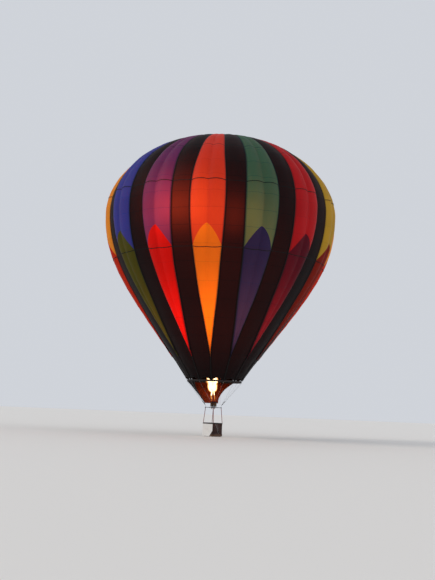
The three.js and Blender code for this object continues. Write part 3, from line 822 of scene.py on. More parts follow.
line_finish = Finish("pull_line_finish")
twist = line_finish.math("SINE", line_finish.up() * 500.0)
line_finish.surface(dye("c03018"), 0.6, line_finish.bump(twist, 0.5, 0.002))
line_top = Vector((0, 0, float(crown_height(0)) - valve_drop - 0.01))
line_foot = Vector(LINE_FOOT[:2] + (LINE_FOOT[2] + GROUND,))
pull_line = tube("pull_line", [[line_top.lerp(line_foot, k / 60) for k in range(61)]], LINE_RADIUS)
dress(line_finish.material, pull_line)
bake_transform(pull_line)

# Mouth
# Below the arches runs a stiff band of heat-proof tape, clipped to the foot of every load tape by
# a steel ring.
HEM_RADIUS = 2.13
HEM_WIDTH = 0.044
HEM_TOP = MOUTH + 0.08
HEM_FOOT = MOUTH - 0.06
HEM_PULL = 0.006
MOUTH_RING_PLACE = 2.142
MOUTH_RING_RADIUS = 0.026
MOUTH_RING_BAR = 0.005
MOUTH_RING_DROP = 0.066


def hem_section(angle, turn):
    out, up = squared(turn, HEM_WIDTH, HEM_TOP - HEM_FOOT)
    pull = np.cos(STRIPES * angle)
    return HEM_RADIUS + out - HEM_PULL + HEM_PULL * pull, (HEM_TOP + HEM_FOOT) / 2 + GROUND + up


hem_tape = Finish("hem_tape_finish")
scorch = hem_tape.noise(hem_tape.place(), 5.0, 4.0)
hem_tape.surface(
    hem_tape.mix(hem_tape.between(scorch, 0.4, 0.7), dye("241c1a"), dye("120e0d")), 0.8,
    hem_tape.bump(hem_tape.noise(hem_tape.place(), 160.0, 2.0), 0.5, 0.002))
hem = around("mouth_band", 168, 12, hem_section)
dress(hem_tape.material, hem)
soften(hem)
belongs(hem, "balloon", "mouth_hem", slot="hem_tape")

rings = []
for i in range(STRIPES):
    angle = i * PITCH
    place = (
        MOUTH_RING_PLACE * math.cos(angle),
        MOUTH_RING_PLACE * math.sin(angle),
        MOUTH - MOUTH_RING_DROP + GROUND,
    )
    ring = hoop(MOUTH_RING_RADIUS, MOUTH_RING_BAR, place, (24, 8), (math.radians(90), 0, angle))
    dress(alloy.material, ring)
    rings.append(ring)
mouth_rings = joined("mouth_rings", rings)
soften(mouth_rings)
belongs(mouth_rings, "balloon", slot="wire_steel")

# Scoop
# A sheet of heat-proof cloth hung inside the flying wires on three sides, to catch the wind. It is
# black outside; its inner face is painted rust-red as the burner's warm glow on it. Its free edges are
# taped and bow inwards.
SCOOP_FIRST_TAPE = 3.5
SCOOP_LAST_TAPE = 10.5
SCOOP_LAST_FOOT = 10
SCOOP_TOP = HEM_FOOT - 0.0004
SCOOP_TOP_RADIUS = 2.118
SCOOP_BOW = 0.45
SCOOP_FOOT = 2.58
SCOOP_FOOT_HALF = 0.45
SCOOP_FOOT_EASE = 0.06
SCOOP_COLUMNS = 112
SCOOP_ROWS = 44
CORNER_OF_TAPE = np.array([(1, 1)] * 4 + [(-1, 1)] * 3 + [(-1, -1)] * 4 + [(1, -1)] * 3)


def scoop_tape(across, down):
    bow = SCOOP_BOW * 4 * down * (1 - down)
    return SCOOP_FIRST_TAPE + bow + (SCOOP_LAST_TAPE - SCOOP_FIRST_TAPE - 2 * bow) * (across + 1) / 2


def scoop_point(tape, down, inset):
    angle = tape * PITCH
    out = np.stack([np.cos(angle), np.sin(angle)], axis=-1)
    foot_tape = np.minimum(tape, SCOOP_LAST_FOOT)
    low = CORNER_OF_TAPE[np.floor(foot_tape).astype(int)]
    high = CORNER_OF_TAPE[np.ceil(foot_tape).astype(int)]
    share = (foot_tape % 1)[:, None]
    foot = (low + (high - low) * share) * SCOOP_FOOT_HALF + out * SCOOP_FOOT_EASE
    head = out * SCOOP_TOP_RADIUS
    level = head + (foot - head) * down[:, None] - out * inset[:, None]
    height = SCOOP_TOP + (SCOOP_FOOT - SCOOP_TOP) * down + GROUND
    return np.column_stack([level, height])


def scoop_lay(across, down):
    tape = scoop_tape(across, down)
    still = np.zeros_like(down)
    sag = 0.05 * np.sin(math.pi * (tape % 1))**2 * np.sin(math.pi * down)**0.7
    base = scoop_point(tape, down, still)
    crease = 0.016 * (1 + wandering(base * (1, 1, 0.25), 0.16, 71)) * np.sin(math.pi * np.clip(down, 0, 1))
    slack = 0.02 * (1 + wandering(base, 0.5, 72)) * np.sin(math.pi * down)
    return scoop_point(tape, down, sag + crease + slack)


def heat_cloth(name, colour, stain):
    cloth = Finish(name)
    soot = cloth.noise(cloth.place(), 1.6, 5.0)
    weave = cloth.noise(cloth.place(), 220.0, 2.0)
    folds = cloth.noise(cloth.place((1, 1, 0.4)), 7.0, 4.0)
    cloth.surface(
        cloth.mix(cloth.between(soot, 0.4, 0.75), colour, stain), 0.8,
        cloth.bump(folds + weave * 0.05, 0.5, 0.02), Specular_IOR_Level=0.15)
    return cloth.material


scoop = cloth_cut("scoop_cloth", SCOOP_COLUMNS, SCOOP_ROWS, scoop_lay)
scoop.data.materials.append(heat_cloth("scoop_outside", dye("0e0a0b"), dye("151010")))
# The inner face: rust-red painted glow of the burner's light, with soot
scoop.data.materials.append(heat_cloth("scoop_inside_painted_glow", dye("7e3014"), dye("52200e")))
worked(scoop, "SOLIDIFY", thickness=0.002, offset=-1, material_offset=1)
soften(scoop)
belongs(scoop, "balloon", "scoop", slot="scoop_fabric")

scoop_edges = []
for end in (-1, 1):
    shares = np.linspace(0.01, 0.99, 40)
    across = np.full_like(shares, end)
    scoop_edges.append(scoop_point(scoop_tape(across, shares), shares, np.full_like(shares, 0.006)))
shares = np.linspace(-1, 1, 80)
foot_down = np.ones_like(shares)
scoop_edges.append(scoop_point(scoop_tape(shares, foot_down), foot_down, np.full_like(shares, 0.004)))
scoop_binding = tube("scoop_binding", scoop_edges, 0.009)
dress(hem_tape.material, scoop_binding)
belongs(scoop_binding, "balloon", slot="hem_tape")

# Flying wires
# A fan of steel ropes rises from a shackle on each corner of the load frame to the nearest load
# tapes. Each rope has a pressed ferrule at both ends and a heat sleeve over its foot.
FRAME = 2.24
FRAME_HALF = 0.435
SHACKLE_FOOT = 2.272
SHACKLE_RISE = 0.08
SHACKLE_BOW = 0.021
SHACKLE_HEAD = 2.373
SHACKLE_BAR = 0.0065
PIN_HALF = 0.036
WIRE_HEAD = 4.185
WIRE_HEAD_RADIUS = 2.14
WIRE_RADIUS = 0.0045
HEAT_SLEEVE_RADIUS = 0.0085
FERRULE_RADIUS = 0.008
FERRULE_LENGTH = 0.045
# Each corner of the frame, and the load tapes that its ropes go to
FANS = [
    ((1, 1), (0, 1, 2, 3)),
    ((-1, 1), (4, 5, 6)),
    ((-1, -1), (7, 8, 9, 10)),
    ((1, -1), (11, 12, 13)),
]

rope = Finish("wire_rope")
strand = rope.math("SINE", rope.up((0.5, 0.5, 0)) * 900.0)
rope.surface(
    rope.mix(rope.noise(rope.place(), 30.0), dye("6c6f73"), dye("b4b6ba")), 0.38,
    rope.bump(strand, 0.6, 0.001), metallic=1.0)
sleeve_finish = Finish("heat_sleeve")
sleeve_weave = sleeve_finish.noise(sleeve_finish.place(), 140.0, 2.0)
sleeve_finish.surface(dye("3a302c"), 0.8, sleeve_finish.bump(sleeve_weave, 0.5, 0.002))

for i, ((side_x, side_y), fan) in enumerate(FANS):
    x, y = side_x * FRAME_HALF, side_y * FRAME_HALF
    # The shackle: two legs and a ring of bright steel, with a screw pin across its foot
    across = Vector((side_x, -side_y, 0)).normalized()
    foot = Vector((x, y, GROUND + SHACKLE_FOOT))
    bow = []
    for turn in np.linspace(0, 2 * math.pi, 33)[:-1]:
        rise = Vector((0, 0, SHACKLE_RISE + SHACKLE_BOW * math.sin(turn)))
        bow.append(foot + across * SHACKLE_BOW * math.cos(turn) + rise)
    legs = []
    for hand in (-1, 1):
        leg_foot = foot + across * hand * SHACKLE_BOW
        legs.append([leg_foot, leg_foot + Vector((0, 0, SHACKLE_RISE))])
    shackle = joined("shackle", [
        tube("bow", [bow], SHACKLE_BAR, 3, True), tube("legs", legs, SHACKLE_BAR, 3)])
    middle = foot + Vector((0, 0, 0.02))
    pin = tube("shackle_pin", [[middle - across * PIN_HALF, middle + across * PIN_HALF]], 0.007, 3)
    nut = tube("shackle_nut", [[middle + across * 0.027, middle + across * PIN_HALF]], 0.012, 1)
    fan_wires, fan_sleeves, fan_ferrules = [], [], []
    foot = Vector((x, y, GROUND + SHACKLE_HEAD))
    for tape in fan:
        angle = tape * PITCH
        head = Vector((
            WIRE_HEAD_RADIUS * math.cos(angle),
            WIRE_HEAD_RADIUS * math.sin(angle),
            WIRE_HEAD + GROUND,
        ))
        along = (head - foot).normalized()
        fan_wires.append([foot, foot.lerp(head, 0.5), head])
        fan_sleeves.append([foot + along * 0.1, foot + along * 0.3, foot + along * 0.5])
        for at in (foot + along * 0.05, head - along * 0.09):
            fan_ferrules.append([at, at + along * FERRULE_LENGTH])
    wires = tube("wires", fan_wires, WIRE_RADIUS)
    sleeves = tube("sleeves", fan_sleeves, HEAT_SLEEVE_RADIUS)
    ferrules = tube("ferrules", fan_ferrules, FERRULE_RADIUS)
    dress(alloy.material, shackle, pin, nut, ferrules)
    dress(rope.material, wires)
    dress(sleeve_finish.material, sleeves)
    rigging = joined(f"rigging_{i + 1}", [shackle, pin, nut, sleeves, ferrules, wires])
    belongs(rigging, "balloon", f"flying_wires_{i + 1}", slot="wire_steel")

# Load frame
# A square of round steel tube with a cast block at each corner and a bearing plate on both X
# sides. It hangs from the shackles and carries the burner and the basket.
BLOCK = 0.064
FRAME_TUBE_RADIUS = 0.019


def painted_steel(name, colour, edge):
    steel = Finish(name)
    grime = steel.noise(steel.place(), 9.0, 5.0)
    worn = steel.between(steel.noise(steel.place(), 34.0, 4.0), 0.62, 0.72)
    steel.surface(
        steel.mix(worn * 0.7, steel.darker(steel.between(grime, 0.35, 0.7), colour, 0.6), edge),
        0.36 + grime * 0.25, steel.bump(grime, 0.15, 0.002), metallic=0.85)
    return steel.material


FRAME_STEEL = painted_steel("frame_steel_finish", dye("303236"), dye("7c7e82"))


def chunk(name, size, place, bevel, segments=3):
    """A bevelled block"""
    select_none()
    bpy.ops.mesh.primitive_cube_add(size=1, location=place, scale=size)
    piece = bpy.context.object
    piece.name = name
    bpy.ops.object.transform_apply()
    worked(piece, "BEVEL", width=bevel, segments=segments, limit_method="ANGLE")
    return piece


def drum(name, radius, length, place, axis="Z", sides=32, bevel=0.002):
    """A bevelled cylinder"""
    select_none()
    turn = {"Z": (0, 0, 0), "X": (0, math.radians(90), 0), "Y": (math.radians(90), 0, 0)}[axis]
    bpy.ops.mesh.primitive_cylinder_add(
        vertices=sides, radius=radius, depth=length, location=place, rotation=turn)
    piece = bpy.context.object
    piece.name = name
    bpy.ops.object.transform_apply()
    worked(piece, "BEVEL", width=bevel, segments=2, limit_method="ANGLE")
    return piece


level = GROUND + FRAME
frame_parts = []
for side_x, side_y in ((1, 1), (-1, 1), (-1, -1), (1, -1)):
    x, y = side_x * FRAME_HALF, side_y * FRAME_HALF
    frame_parts.append(chunk("corner_block", (BLOCK, BLOCK, BLOCK), (x, y, level), 0.007))
    frame_parts.append(drum("socket", 0.025, 0.03, (x - side_x * 0.045, y, level), "X"))
    frame_parts.append(drum("socket", 0.025, 0.03, (x, y - side_y * 0.045, level), "Y"))
    frame_parts.append(drum("bolt", 0.009, 0.012, (x + side_x * 0.034, y, level), "X", 6, 0.001))
    frame_parts.append(drum("bolt", 0.009, 0.012, (x, y + side_y * 0.034, level), "Y", 6, 0.001))
for side in (-1, 1):
    offset = side * FRAME_HALF
    frame_parts.append(drum("side_tube", FRAME_TUBE_RADIUS, 2 * FRAME_HALF, (0, offset, level), "X"))
    for half_side in (-1, 1):
        frame_parts.append(drum(
            "end_tube", FRAME_TUBE_RADIUS, FRAME_HALF - 0.02,
            (offset, half_side * (FRAME_HALF + 0.02) / 2, level), "Y"))
    # The bearing plate: a collar with a clear bore for the gimbal's pin
    outer = drum("bearing", 0.03, 0.052, (offset - side * 0.007, 0, level), "X", 40)
    bore = drum("bore", 0.0112, 0.08, (offset - side * 0.007, 0, level), "X", 32, 0.0001)
    worked(outer, "BOOLEAN", object=bore, operation="DIFFERENCE", solver="EXACT")
    bpy.data.objects.remove(bore)
    frame_parts.append(outer)
load_frame = joined("burner_frame", frame_parts)
dress(FRAME_STEEL, load_frame)
soften(load_frame, 35)
belongs(load_frame, "balloon", "load_frame", slot="frame_steel")

# Gimbal ring
# A ring of round bar that swings on two pins in the load frame's bearings. Two bosses on it take
# the burner's own pins, at right angles.
RING_RADIUS = 0.345
RING_BAR = 0.0145

gimbal_parts = [hoop(RING_RADIUS, RING_BAR, (0, 0, level), (96, 16))]
for side in (-1, 1):
    gimbal_parts.append(drum("gimbal_pin", 0.0095, 0.1, (side * (RING_RADIUS + 0.055), 0, level), "X"))
    gimbal_parts.append(drum("pin_collar", 0.019, 0.014, (side * (RING_RADIUS + 0.022), 0, level), "X"))
    boss = drum("boss", 0.027, 0.04, (0, side * RING_RADIUS, level), "Y", 40)
    bore = drum("bore", 0.0112, 0.07, (0, side * RING_RADIUS, level), "Y", 32, 0.0001)
    worked(boss, "BOOLEAN", object=bore, operation="DIFFERENCE", solver="EXACT")
    bpy.data.objects.remove(bore)
    gimbal_parts.append(boss)
gimbal = joined("gimbal_hoop", gimbal_parts)
dress(painted_steel("gimbal_finish", dye("6a6d72"), dye("b0b2b6")), gimbal)
soften(gimbal, 35)
belongs(gimbal, "gimbal", "gimbal_ring", slot="frame_steel")

# Burner
# Two open cans of stainless sheet stand on one valve block. In each, a coil of tube warms the
# fuel on its way to a ring of jets. Blast and pilot valves hang below.
CAN_RADIUS = 0.138
CAN_FOOT = 0.07
CAN_TOP = 0.45
CAN_X = 0.15
COIL_RADIUS = CAN_RADIUS - 0.026
COIL_TURNS = 6
COIL_STEPS = 28
COIL_FOOT = 0.115
COIL_RISE = 0.29
JET_RING_RADIUS = 0.06
JET_FOOT = 0.12
JET_HEAD = 0.145

heat_steel = Finish("heat_steel")
can_height = heat_steel.up() - (GROUND + FRAME)
tint = heat_steel.mix(heat_steel.between(can_height, 0.08, 0.3), dye("6a655e"), dye("5e422a"))
tint = heat_steel.mix(heat_steel.between(can_height, 0.3, 0.44), tint, dye("2a2533"))
smudge = heat_steel.noise(heat_steel.place(), 14.0, 5.0)
heat_steel.surface(
    heat_steel.darker(heat_steel.between(smudge, 0.4, 0.7), tint, 0.55), 0.3 + smudge * 0.3,
    heat_steel.bump(smudge, 0.2, 0.002), metallic=1.0)
brass = Finish("brass")
tarnish = brass.noise(brass.place(), 24.0, 4.0)
brass.surface(
    brass.mix(brass.between(tarnish, 0.4, 0.7), dye("b8944a"), dye("6e5428")), 0.3 + tarnish * 0.25,
    brass.bump(tarnish, 0.15, 0.001), metallic=1.0)
grip = Finish("red_grip")
grip.surface(
    grip.mix(grip.noise(grip.place(), 20.0), dye("9c1a14"), dye("6c100c")), 0.5,
    grip.bump(grip.noise(grip.place(), 120.0), 0.2, 0.001))


def turned(name, profile, sides, place):
    """A piece turned on its own upright axis, from radius and height pairs"""
    select_none()
    mesh = bpy.data.meshes.new(name)
    mesh.from_pydata([(r, 0, h) for r, h in profile], [(k, k + 1) for k in range(len(profile) - 1)], [])
    piece = bpy.data.objects.new(name, mesh)
    bpy.context.collection.objects.link(piece)
    worked(piece, "SCREW", steps=sides, render_steps=sides, use_merge_vertices=True, merge_threshold=0.0001)
    piece.location = place
    take(piece)
    bpy.ops.object.transform_apply()
    close_seams(piece)
    return piece


def jet_place(x, turn, height):
    """A place on the ring of jets, which stands round x"""
    return x + JET_RING_RADIUS * math.cos(turn), JET_RING_RADIUS * math.sin(turn), level + height


burner_parts = dress(heat_steel.material, chunk("valve_block", (0.4, 0.118, 0.078), (0, 0, level), 0.008))
for side in (-1, 1):
    x = side * CAN_X
    can = turned("can", [
        (0.05, CAN_FOOT + 0.001), (CAN_RADIUS - 0.012, CAN_FOOT), (CAN_RADIUS, CAN_FOOT + 0.012),
        (CAN_RADIUS, 0.2), (CAN_RADIUS + 0.002, 0.204), (CAN_RADIUS + 0.002, 0.214), (CAN_RADIUS, 0.218),
        (CAN_RADIUS, CAN_TOP - 0.008), (CAN_RADIUS + 0.002, CAN_TOP - 0.003), (CAN_RADIUS - 0.001, CAN_TOP),
        (CAN_RADIUS - 0.005, CAN_TOP - 0.004), (CAN_RADIUS - 0.005, CAN_FOOT + 0.016),
        (CAN_RADIUS - 0.016, CAN_FOOT + 0.006), (0.05, CAN_FOOT + 0.006), (0.05, CAN_FOOT + 0.001),
    ], 64, (x, 0, level))
    coil = []
    for k in range(COIL_TURNS * COIL_STEPS + 1):
        turn = 2 * math.pi * k / COIL_STEPS
        coil.append((
            x + COIL_RADIUS * math.cos(turn), COIL_RADIUS * math.sin(turn),
            level + COIL_FOOT + COIL_RISE * k / (COIL_TURNS * COIL_STEPS)))
    coil += [(x, 0.05, level + 0.3), (x, 0.02, level + 0.12), (x, 0, level + 0.1)]
    jet_ring = [jet_place(x, turn, JET_FOOT) for turn in np.linspace(0, 2 * math.pi, 33)[:-1]]
    jets = [
        [jet_place(x, turn, JET_FOOT), jet_place(x, turn, JET_HEAD)]
        for turn in np.linspace(0, 2 * math.pi, 13)[:-1]]
    spokes = [(x - JET_RING_RADIUS, 0, level + JET_FOOT), (x + JET_RING_RADIUS, 0, level + JET_FOOT)]
    burner_parts += dress(
        heat_steel.material, can, tube("coil", [coil], 0.0085, 2),
        tube("jet_ring", [jet_ring], 0.008, 2, True), tube("spokes", [spokes], 0.007),
        drum("riser", 0.03, 0.075, (x, 0, level + 0.065)))
    burner_parts += dress(
        brass.material, tube("jets", jets, 0.005, 1),
        drum("jet_feed", 0.016, 0.055, (x, 0, level + 0.1)),
        drum("blast_valve", 0.028, 0.06, (x, 0, level - 0.068)),
        drum("valve_nut", 0.033, 0.014, (x, 0, level - 0.05), "Z", 6),
        drum("hose_tail", 0.012, 0.04, (x, 0, level - 0.118)),
        drum("pilot_valve", 0.014, 0.05, (x - side * 0.06, 0.04, level - 0.058)),
        drum("burner_pin", 0.0098, 0.31, (0, side * 0.205, level), "Y"))
    burner_parts += dress(
        heat_steel.material, drum("gauge_case", 0.026, 0.02, (x, -0.066, level), "Y", 40))
    handle = [
        (x, -0.028, level - 0.07), (x, -0.07, level - 0.074),
        (x, -0.1, level - 0.09), (x, -0.112, level - 0.13)]
    burner_parts += dress(
        grip.material, tube("handle", [handle], 0.0075, 3),
        drum("pilot_knob", 0.017, 0.014, (x - side * 0.06, 0.04, level - 0.086)))
burner = joined("twin_burner", burner_parts)
soften(burner, 35)
belongs(burner, "burner", "burner_unit", slot="burner_steel")

# Flame
# Burning propane, white-hot in its middle. It stands above both cans and swells into the mouth.
# Four nested skins give off light, each one thinner, darker and more orange than the one inside it.
FLAME_LEAN = -0.05
FLAME_SPREAD = 1.3
FLAME_DEPTH = 0.1
FLAME_STRETCH = 1.3
FLAME_GRAIN = 0.021
LICK = 0.05
# Each ball of flame: across, height above the frame, radius
FLAME_BALLS = [
    (-0.106, 0.56, 0.04), (-0.106, 0.64, 0.044), (-0.106, 0.72, 0.047), (-0.106, 0.8, 0.05),
    (-0.106, 0.89, 0.053), (-0.104, 0.99, 0.056), (-0.1, 1.1, 0.06), (0.106, 0.57, 0.038),
    (0.106, 0.65, 0.042), (0.106, 0.73, 0.045), (0.106, 0.82, 0.047), (0.106, 0.91, 0.05),
    (0.102, 1.02, 0.054), (0.096, 1.14, 0.058), (-0.096, 1.22, 0.07), (0.09, 1.25, 0.065),
    (-0.09, 1.36, 0.14), (0.09, 1.38, 0.13), (-0.12, 1.52, 0.23), (0.11, 1.54, 0.22),
    (-0.14, 1.7, 0.25), (0.12, 1.72, 0.24), (-0.16, 1.88, 0.24), (0.14, 1.9, 0.22),
    (-0.24, 2.08, 0.22), (0.21, 2.08, 0.2), (-0.27, 2.25, 0.18), (0.24, 2.25, 0.16),
    (-0.28, 2.38, 0.12), (0.26, 2.38, 0.11), (-0.1, 2.24, 0.09), (0.07, 2.25, 0.09),
]
# Each skin: how far it swells, its colour, strength and cover, and how low it starts
FLAME_SKINS = [
    ("flame_glow", 1.2, (1, 0.27, 0.05, 1), 0.8, 0.18, 0.5),
    ("flame_body", 1.06, (1, 0.42, 0.11, 1), 1.5, 0.32, 0.7),
    ("flame_heart", 0.92, (1, 0.6, 0.24, 1), 3.0, 0.5, 1.2),
    ("flame_core", 0.78, (1, 0.84, 0.54, 1), 6.5, 1.0, 0.95),
]
for name, swell, colour, strength, cover, lowest in FLAME_SKINS:
    balls = []
    for across, up, radius in [ball for ball in FLAME_BALLS if ball[1] > lowest]:
        lean = FLAME_LEAN * up
        select_none()
        bpy.ops.mesh.primitive_ico_sphere_add(
            subdivisions=3, radius=radius * swell, scale=(1, 1, FLAME_STRETCH),
            location=(across * FLAME_SPREAD + lean, across * FLAME_DEPTH + lean, level + up))
        balls.append(bpy.context.object)
    flame = joined(name, balls)
    take(flame)
    bpy.ops.object.transform_apply()
    worked(flame, "REMESH", mode="VOXEL", voxel_size=FLAME_GRAIN)
    worked(flame, "SMOOTH", factor=0.8, iterations=6)
    points = points_of(flame)
    lick = LICK * wandering(points * (1, 1, 0.45), 0.16, 11)
    put_points(flame, points + np.column_stack([lick, lick, np.zeros_like(lick)]))
    skin = Finish(name + "_light")
    streaky = 1.0
    if cover < 1:
        streaks = skin.noise(skin.place((1, 1, 0.3)), 9.0, 3.0)
        streaky = skin.between(streaks, 0.3, 0.62) * (cover * 0.9) + cover * 0.5
    skin.surface(
        (0, 0, 0, 1), 1.0, Specular_IOR_Level=0.0, Emission_Color=colour,
        Emission_Strength=strength, Alpha=streaky)
    dress(skin.material, flame)
    soften(flame, 180)
    belongs(flame, "burner")

# Uprights
# Four rods join the basket to the load frame. Each is hidden in a padded sleeve of dark red
# cloth, closed by a zip, which also takes the fuel hose up to the burner.
BASKET_TOP = 1.06
BASKET_HALF_X = 0.61
BASKET_HALF_Y = 0.535
BASKET_CORNER = 0.13
WALL = 0.04
SLEEVE_RADIUS = 0.022
SLEEVE_PUCKER = 0.13

padded_cloth = Finish("sleeve_cloth")
sleeve_shade = padded_cloth.noise(padded_cloth.place(), 6.0, 4.0)
padded_cloth.surface(
    padded_cloth.mix(padded_cloth.between(sleeve_shade, 0.35, 0.7), dye("8e1c1c"), dye("5e1113")), 0.68,
    padded_cloth.bump(padded_cloth.noise(padded_cloth.place(), 240.0, 2.0), 0.4, 0.001), Sheen_Weight=0.3)

upright_inset = BASKET_CORNER * (1 - math.sqrt(0.5)) + WALL / 2 * math.sqrt(0.5)
for i, (side_x, side_y) in enumerate(((1, 1), (-1, 1), (-1, -1), (1, -1))):
    foot = Vector((
        side_x * (BASKET_HALF_X - upright_inset),
        side_y * (BASKET_HALF_Y - upright_inset),
        GROUND + BASKET_TOP,
    ))
    head = Vector((side_x * FRAME_HALF, side_y * FRAME_HALF, level - BLOCK / 2 - 0.001))
    along = (head - foot).normalized()
    first = along.cross(Vector((0, 0, 1))).normalized()
    second = along.cross(first)

    def sleeve_lay(across, down):
        turn = math.pi * across
        length = (head - foot).length
        pucker = np.abs(np.sin(math.pi * down * length / SLEEVE_PUCKER))**0.5
        end = np.clip(np.minimum(down, 1 - down) / 0.012, 0, 1)**0.5
        zip_line = np.exp(-((across - 0.3) / 0.05)**2)
        size = SLEEVE_RADIUS * (0.9 + 0.1 * pucker) * (0.55 + 0.45 * end) * (1 - 0.08 * zip_line)
        ends = np.where((down < 1e-4) | (down > 1 - 1e-4), 0, 1)
        centre = np.array(head) + (np.array(foot) - np.array(head)) * down[:, None]
        return centre + (size * ends * np.cos(turn))[:, None] * np.array(first) \
            + (size * ends * np.sin(turn))[:, None] * np.array(second)

    sleeve = cloth_cut(f"upright_sleeve_{i + 1}", 28, 160, sleeve_lay)
    close_seams(sleeve)
    dress(padded_cloth.material, sleeve)
    soften(sleeve, 80)
    belongs(sleeve, "balloon", f"upright_{i + 1}", slot="sleeve_fabric")

# Basket floor
# Ash runners carry a plywood floor. The runners' ends are cut back underneath, so that the basket
# slides over the ground.
FLOOR_FOOT = 0.0624
FLOOR_THICKNESS = 0.024
FLOOR_TOP = FLOOR_FOOT + FLOOR_THICKNESS
RUNNER_HALF = (2 * BASKET_HALF_X - BASKET_CORNER) / 2
RUNNER_WIDTH = 0.07
RUNNER_HEIGHT = 0.062
RUNNER_CUT = 0.07


def timber(name, light, dark, stretch):
    wood = Finish(name)
    grain = wood.noise(wood.place(stretch), 26.0, 5.0)
    rings = wood.node("TexWave", {"bands_direction": "Y"}, {
        "Vector": wood.place(stretch), "Scale": 7.0, "Distortion": 5.0, "Detail": 2.0}, 1)
    scuffed = wood.noise(wood.place(), 5.0, 4.0)
    colour = wood.mix(wood.between(rings + grain * 0.5, 0.3, 1.0), light, dark)
    wood.surface(
        wood.darker(wood.between(scuffed, 0.45, 0.7) * 0.7, colour, 0.55), 0.55 + grain * 0.2,
        wood.bump(grain + rings * 0.3, 0.3, 0.002))
    return wood.material


ash = timber("ash_wood_finish", dye("b08a5c"), dye("7e5a36"), (0.15, 1, 1))
for name, side in (("runner_left", -1), ("runner_middle", 0), ("runner_right", 1)):
    y = side * (BASKET_HALF_Y - BASKET_CORNER)
    runner = chunk(
        name + "_ash", (2 * RUNNER_HALF, RUNNER_WIDTH, RUNNER_HEIGHT),
        (0, y, GROUND + RUNNER_HEIGHT / 2), 0.006)
    points = points_of(runner)
    at_end = (np.abs(points[:, 0]) > RUNNER_HALF - 0.02) & (points[:, 2] < GROUND + 0.02)
    points[at_end, 0] -= np.sign(points[at_end, 0]) * RUNNER_CUT
    put_points(runner, points)
    bolts = [drum("bolt", 0.009, 0.01, (x, y, GROUND + 0.0045), "Z", 6, 0.001) for x in (-0.35, 0, 0.35)]
    dress(ash, runner)
    dress(alloy.material, *bolts)
    runner = joined(name + "_ash", [*bolts, runner])
    soften(runner, 35)
    belongs(runner, "balloon", name, slot="ash_wood")


def basket_line(count, outward=0.0):
    """Points and outward directions round the middle of the basket's wall, or so far outside it"""
    dense, normals = [], []
    for k, (side_x, side_y) in enumerate(((1, 1), (-1, 1), (-1, -1), (1, -1))):
        centre = np.array([
            side_x * (BASKET_HALF_X - BASKET_CORNER), side_y * (BASKET_HALF_Y - BASKET_CORNER)])
        for turn in np.linspace(0, math.pi / 2, 40):
            a = turn + k * math.pi / 2
            normal = np.array([math.cos(a), math.sin(a)])
            dense.append(centre + normal * (BASKET_CORNER - WALL / 2))
            normals.append(normal)
    dense, normals = np.array(dense + dense[:1]), np.array(normals + normals[:1])
    run = np.concatenate([[0], np.cumsum(np.hypot(*np.diff(dense, axis=0).T))])
    at = np.arange(count) / count * run[-1]
    place = np.column_stack([np.interp(at, run, dense[:, i]) for i in (0, 1)])
    normal = np.column_stack([np.interp(at, run, normals[:, i]) for i in (0, 1)])
    normal /= np.hypot(*normal.T)[:, None]
    return place + normal * outward, normal


floor_line = basket_line(96, WALL / 2 - 0.002)[0]
select_none()
floor_mesh = bpy.data.meshes.new("floor_board")
floor_mesh.from_pydata(
    [(x, y, GROUND + FLOOR_FOOT) for x, y in floor_line], [], [list(range(len(floor_line)))])
floor_board = bpy.data.objects.new("floor_board", floor_mesh)
bpy.context.collection.objects.link(floor_board)
worked(floor_board, "SOLIDIFY", thickness=FLOOR_THICKNESS, offset=-1)
worked(floor_board, "BEVEL", width=0.003, segments=2, limit_method="ANGLE")
close_seams(floor_board)
dress(timber("plywood_finish", dye("9c7c54"), dye("7c5c3a"), (0.2, 1, 1)), floor_board)
belongs(floor_board, "balloon", "basket_floor", slot="plywood")

# Wicker wall
# Cane woven round 88 upright stakes, in front of one and behind the next. A bound opening in
# both short sides serves as a foothold.
STAKES = 88
WALL_FOOT = FLOOR_TOP + 0.0004
RIM_HEIGHT = 0.084
WALL_TOP = BASKET_TOP - RIM_HEIGHT
ROWS = 60
CANE_RADIUS = 0.0069
STAKE_RADIUS = 0.006
SWING = 0.0085
HOLE_HALF = 0.085
HOLE_LOW = 0.34
HOLE_HIGH = 0.46
HOLE_CORNER = 0.02
HOLE_BINDING_RADIUS = 0.011

wicker = Finish("wicker_finish")
cane_lot = wicker.attribute("lot")
fleck = wicker.noise(wicker.place((1, 1, 3)), 40.0, 4.0)
weathered = wicker.noise(wicker.place(), 3.0, 4.0)
cane_colour = wicker.mix(cane_lot, dye("4e2415"), dye("2e120a"))
cane_colour = wicker.darker(wicker.between(fleck, 0.4, 0.7) * 0.6, cane_colour, 0.6)
cane_colour = wicker.darker(wicker.between(weathered, 0.4, 0.7) * 0.7, cane_colour, 0.6)
wicker.surface(cane_colour, 0.42 + fleck * 0.25, wicker.bump(fleck, 0.35, 0.0015), Coat_Weight=0.15)

rng = np.random.default_rng(8)
weave_line, weave_out = basket_line(STAKES * 2)
# Two stations to a stake, one on each side of it, so the cane lies flat past every stake
passes = np.where(np.arange(STAKES * 2) // 2 % 2 == 0, 1.0, -1.0)


def in_hole(place, height):
    return (np.abs(place[:, 0]) > BASKET_HALF_X - 0.1) & (np.abs(place[:, 1]) < HOLE_HALF) \
        & (height > HOLE_LOW) & (height < HOLE_HIGH)


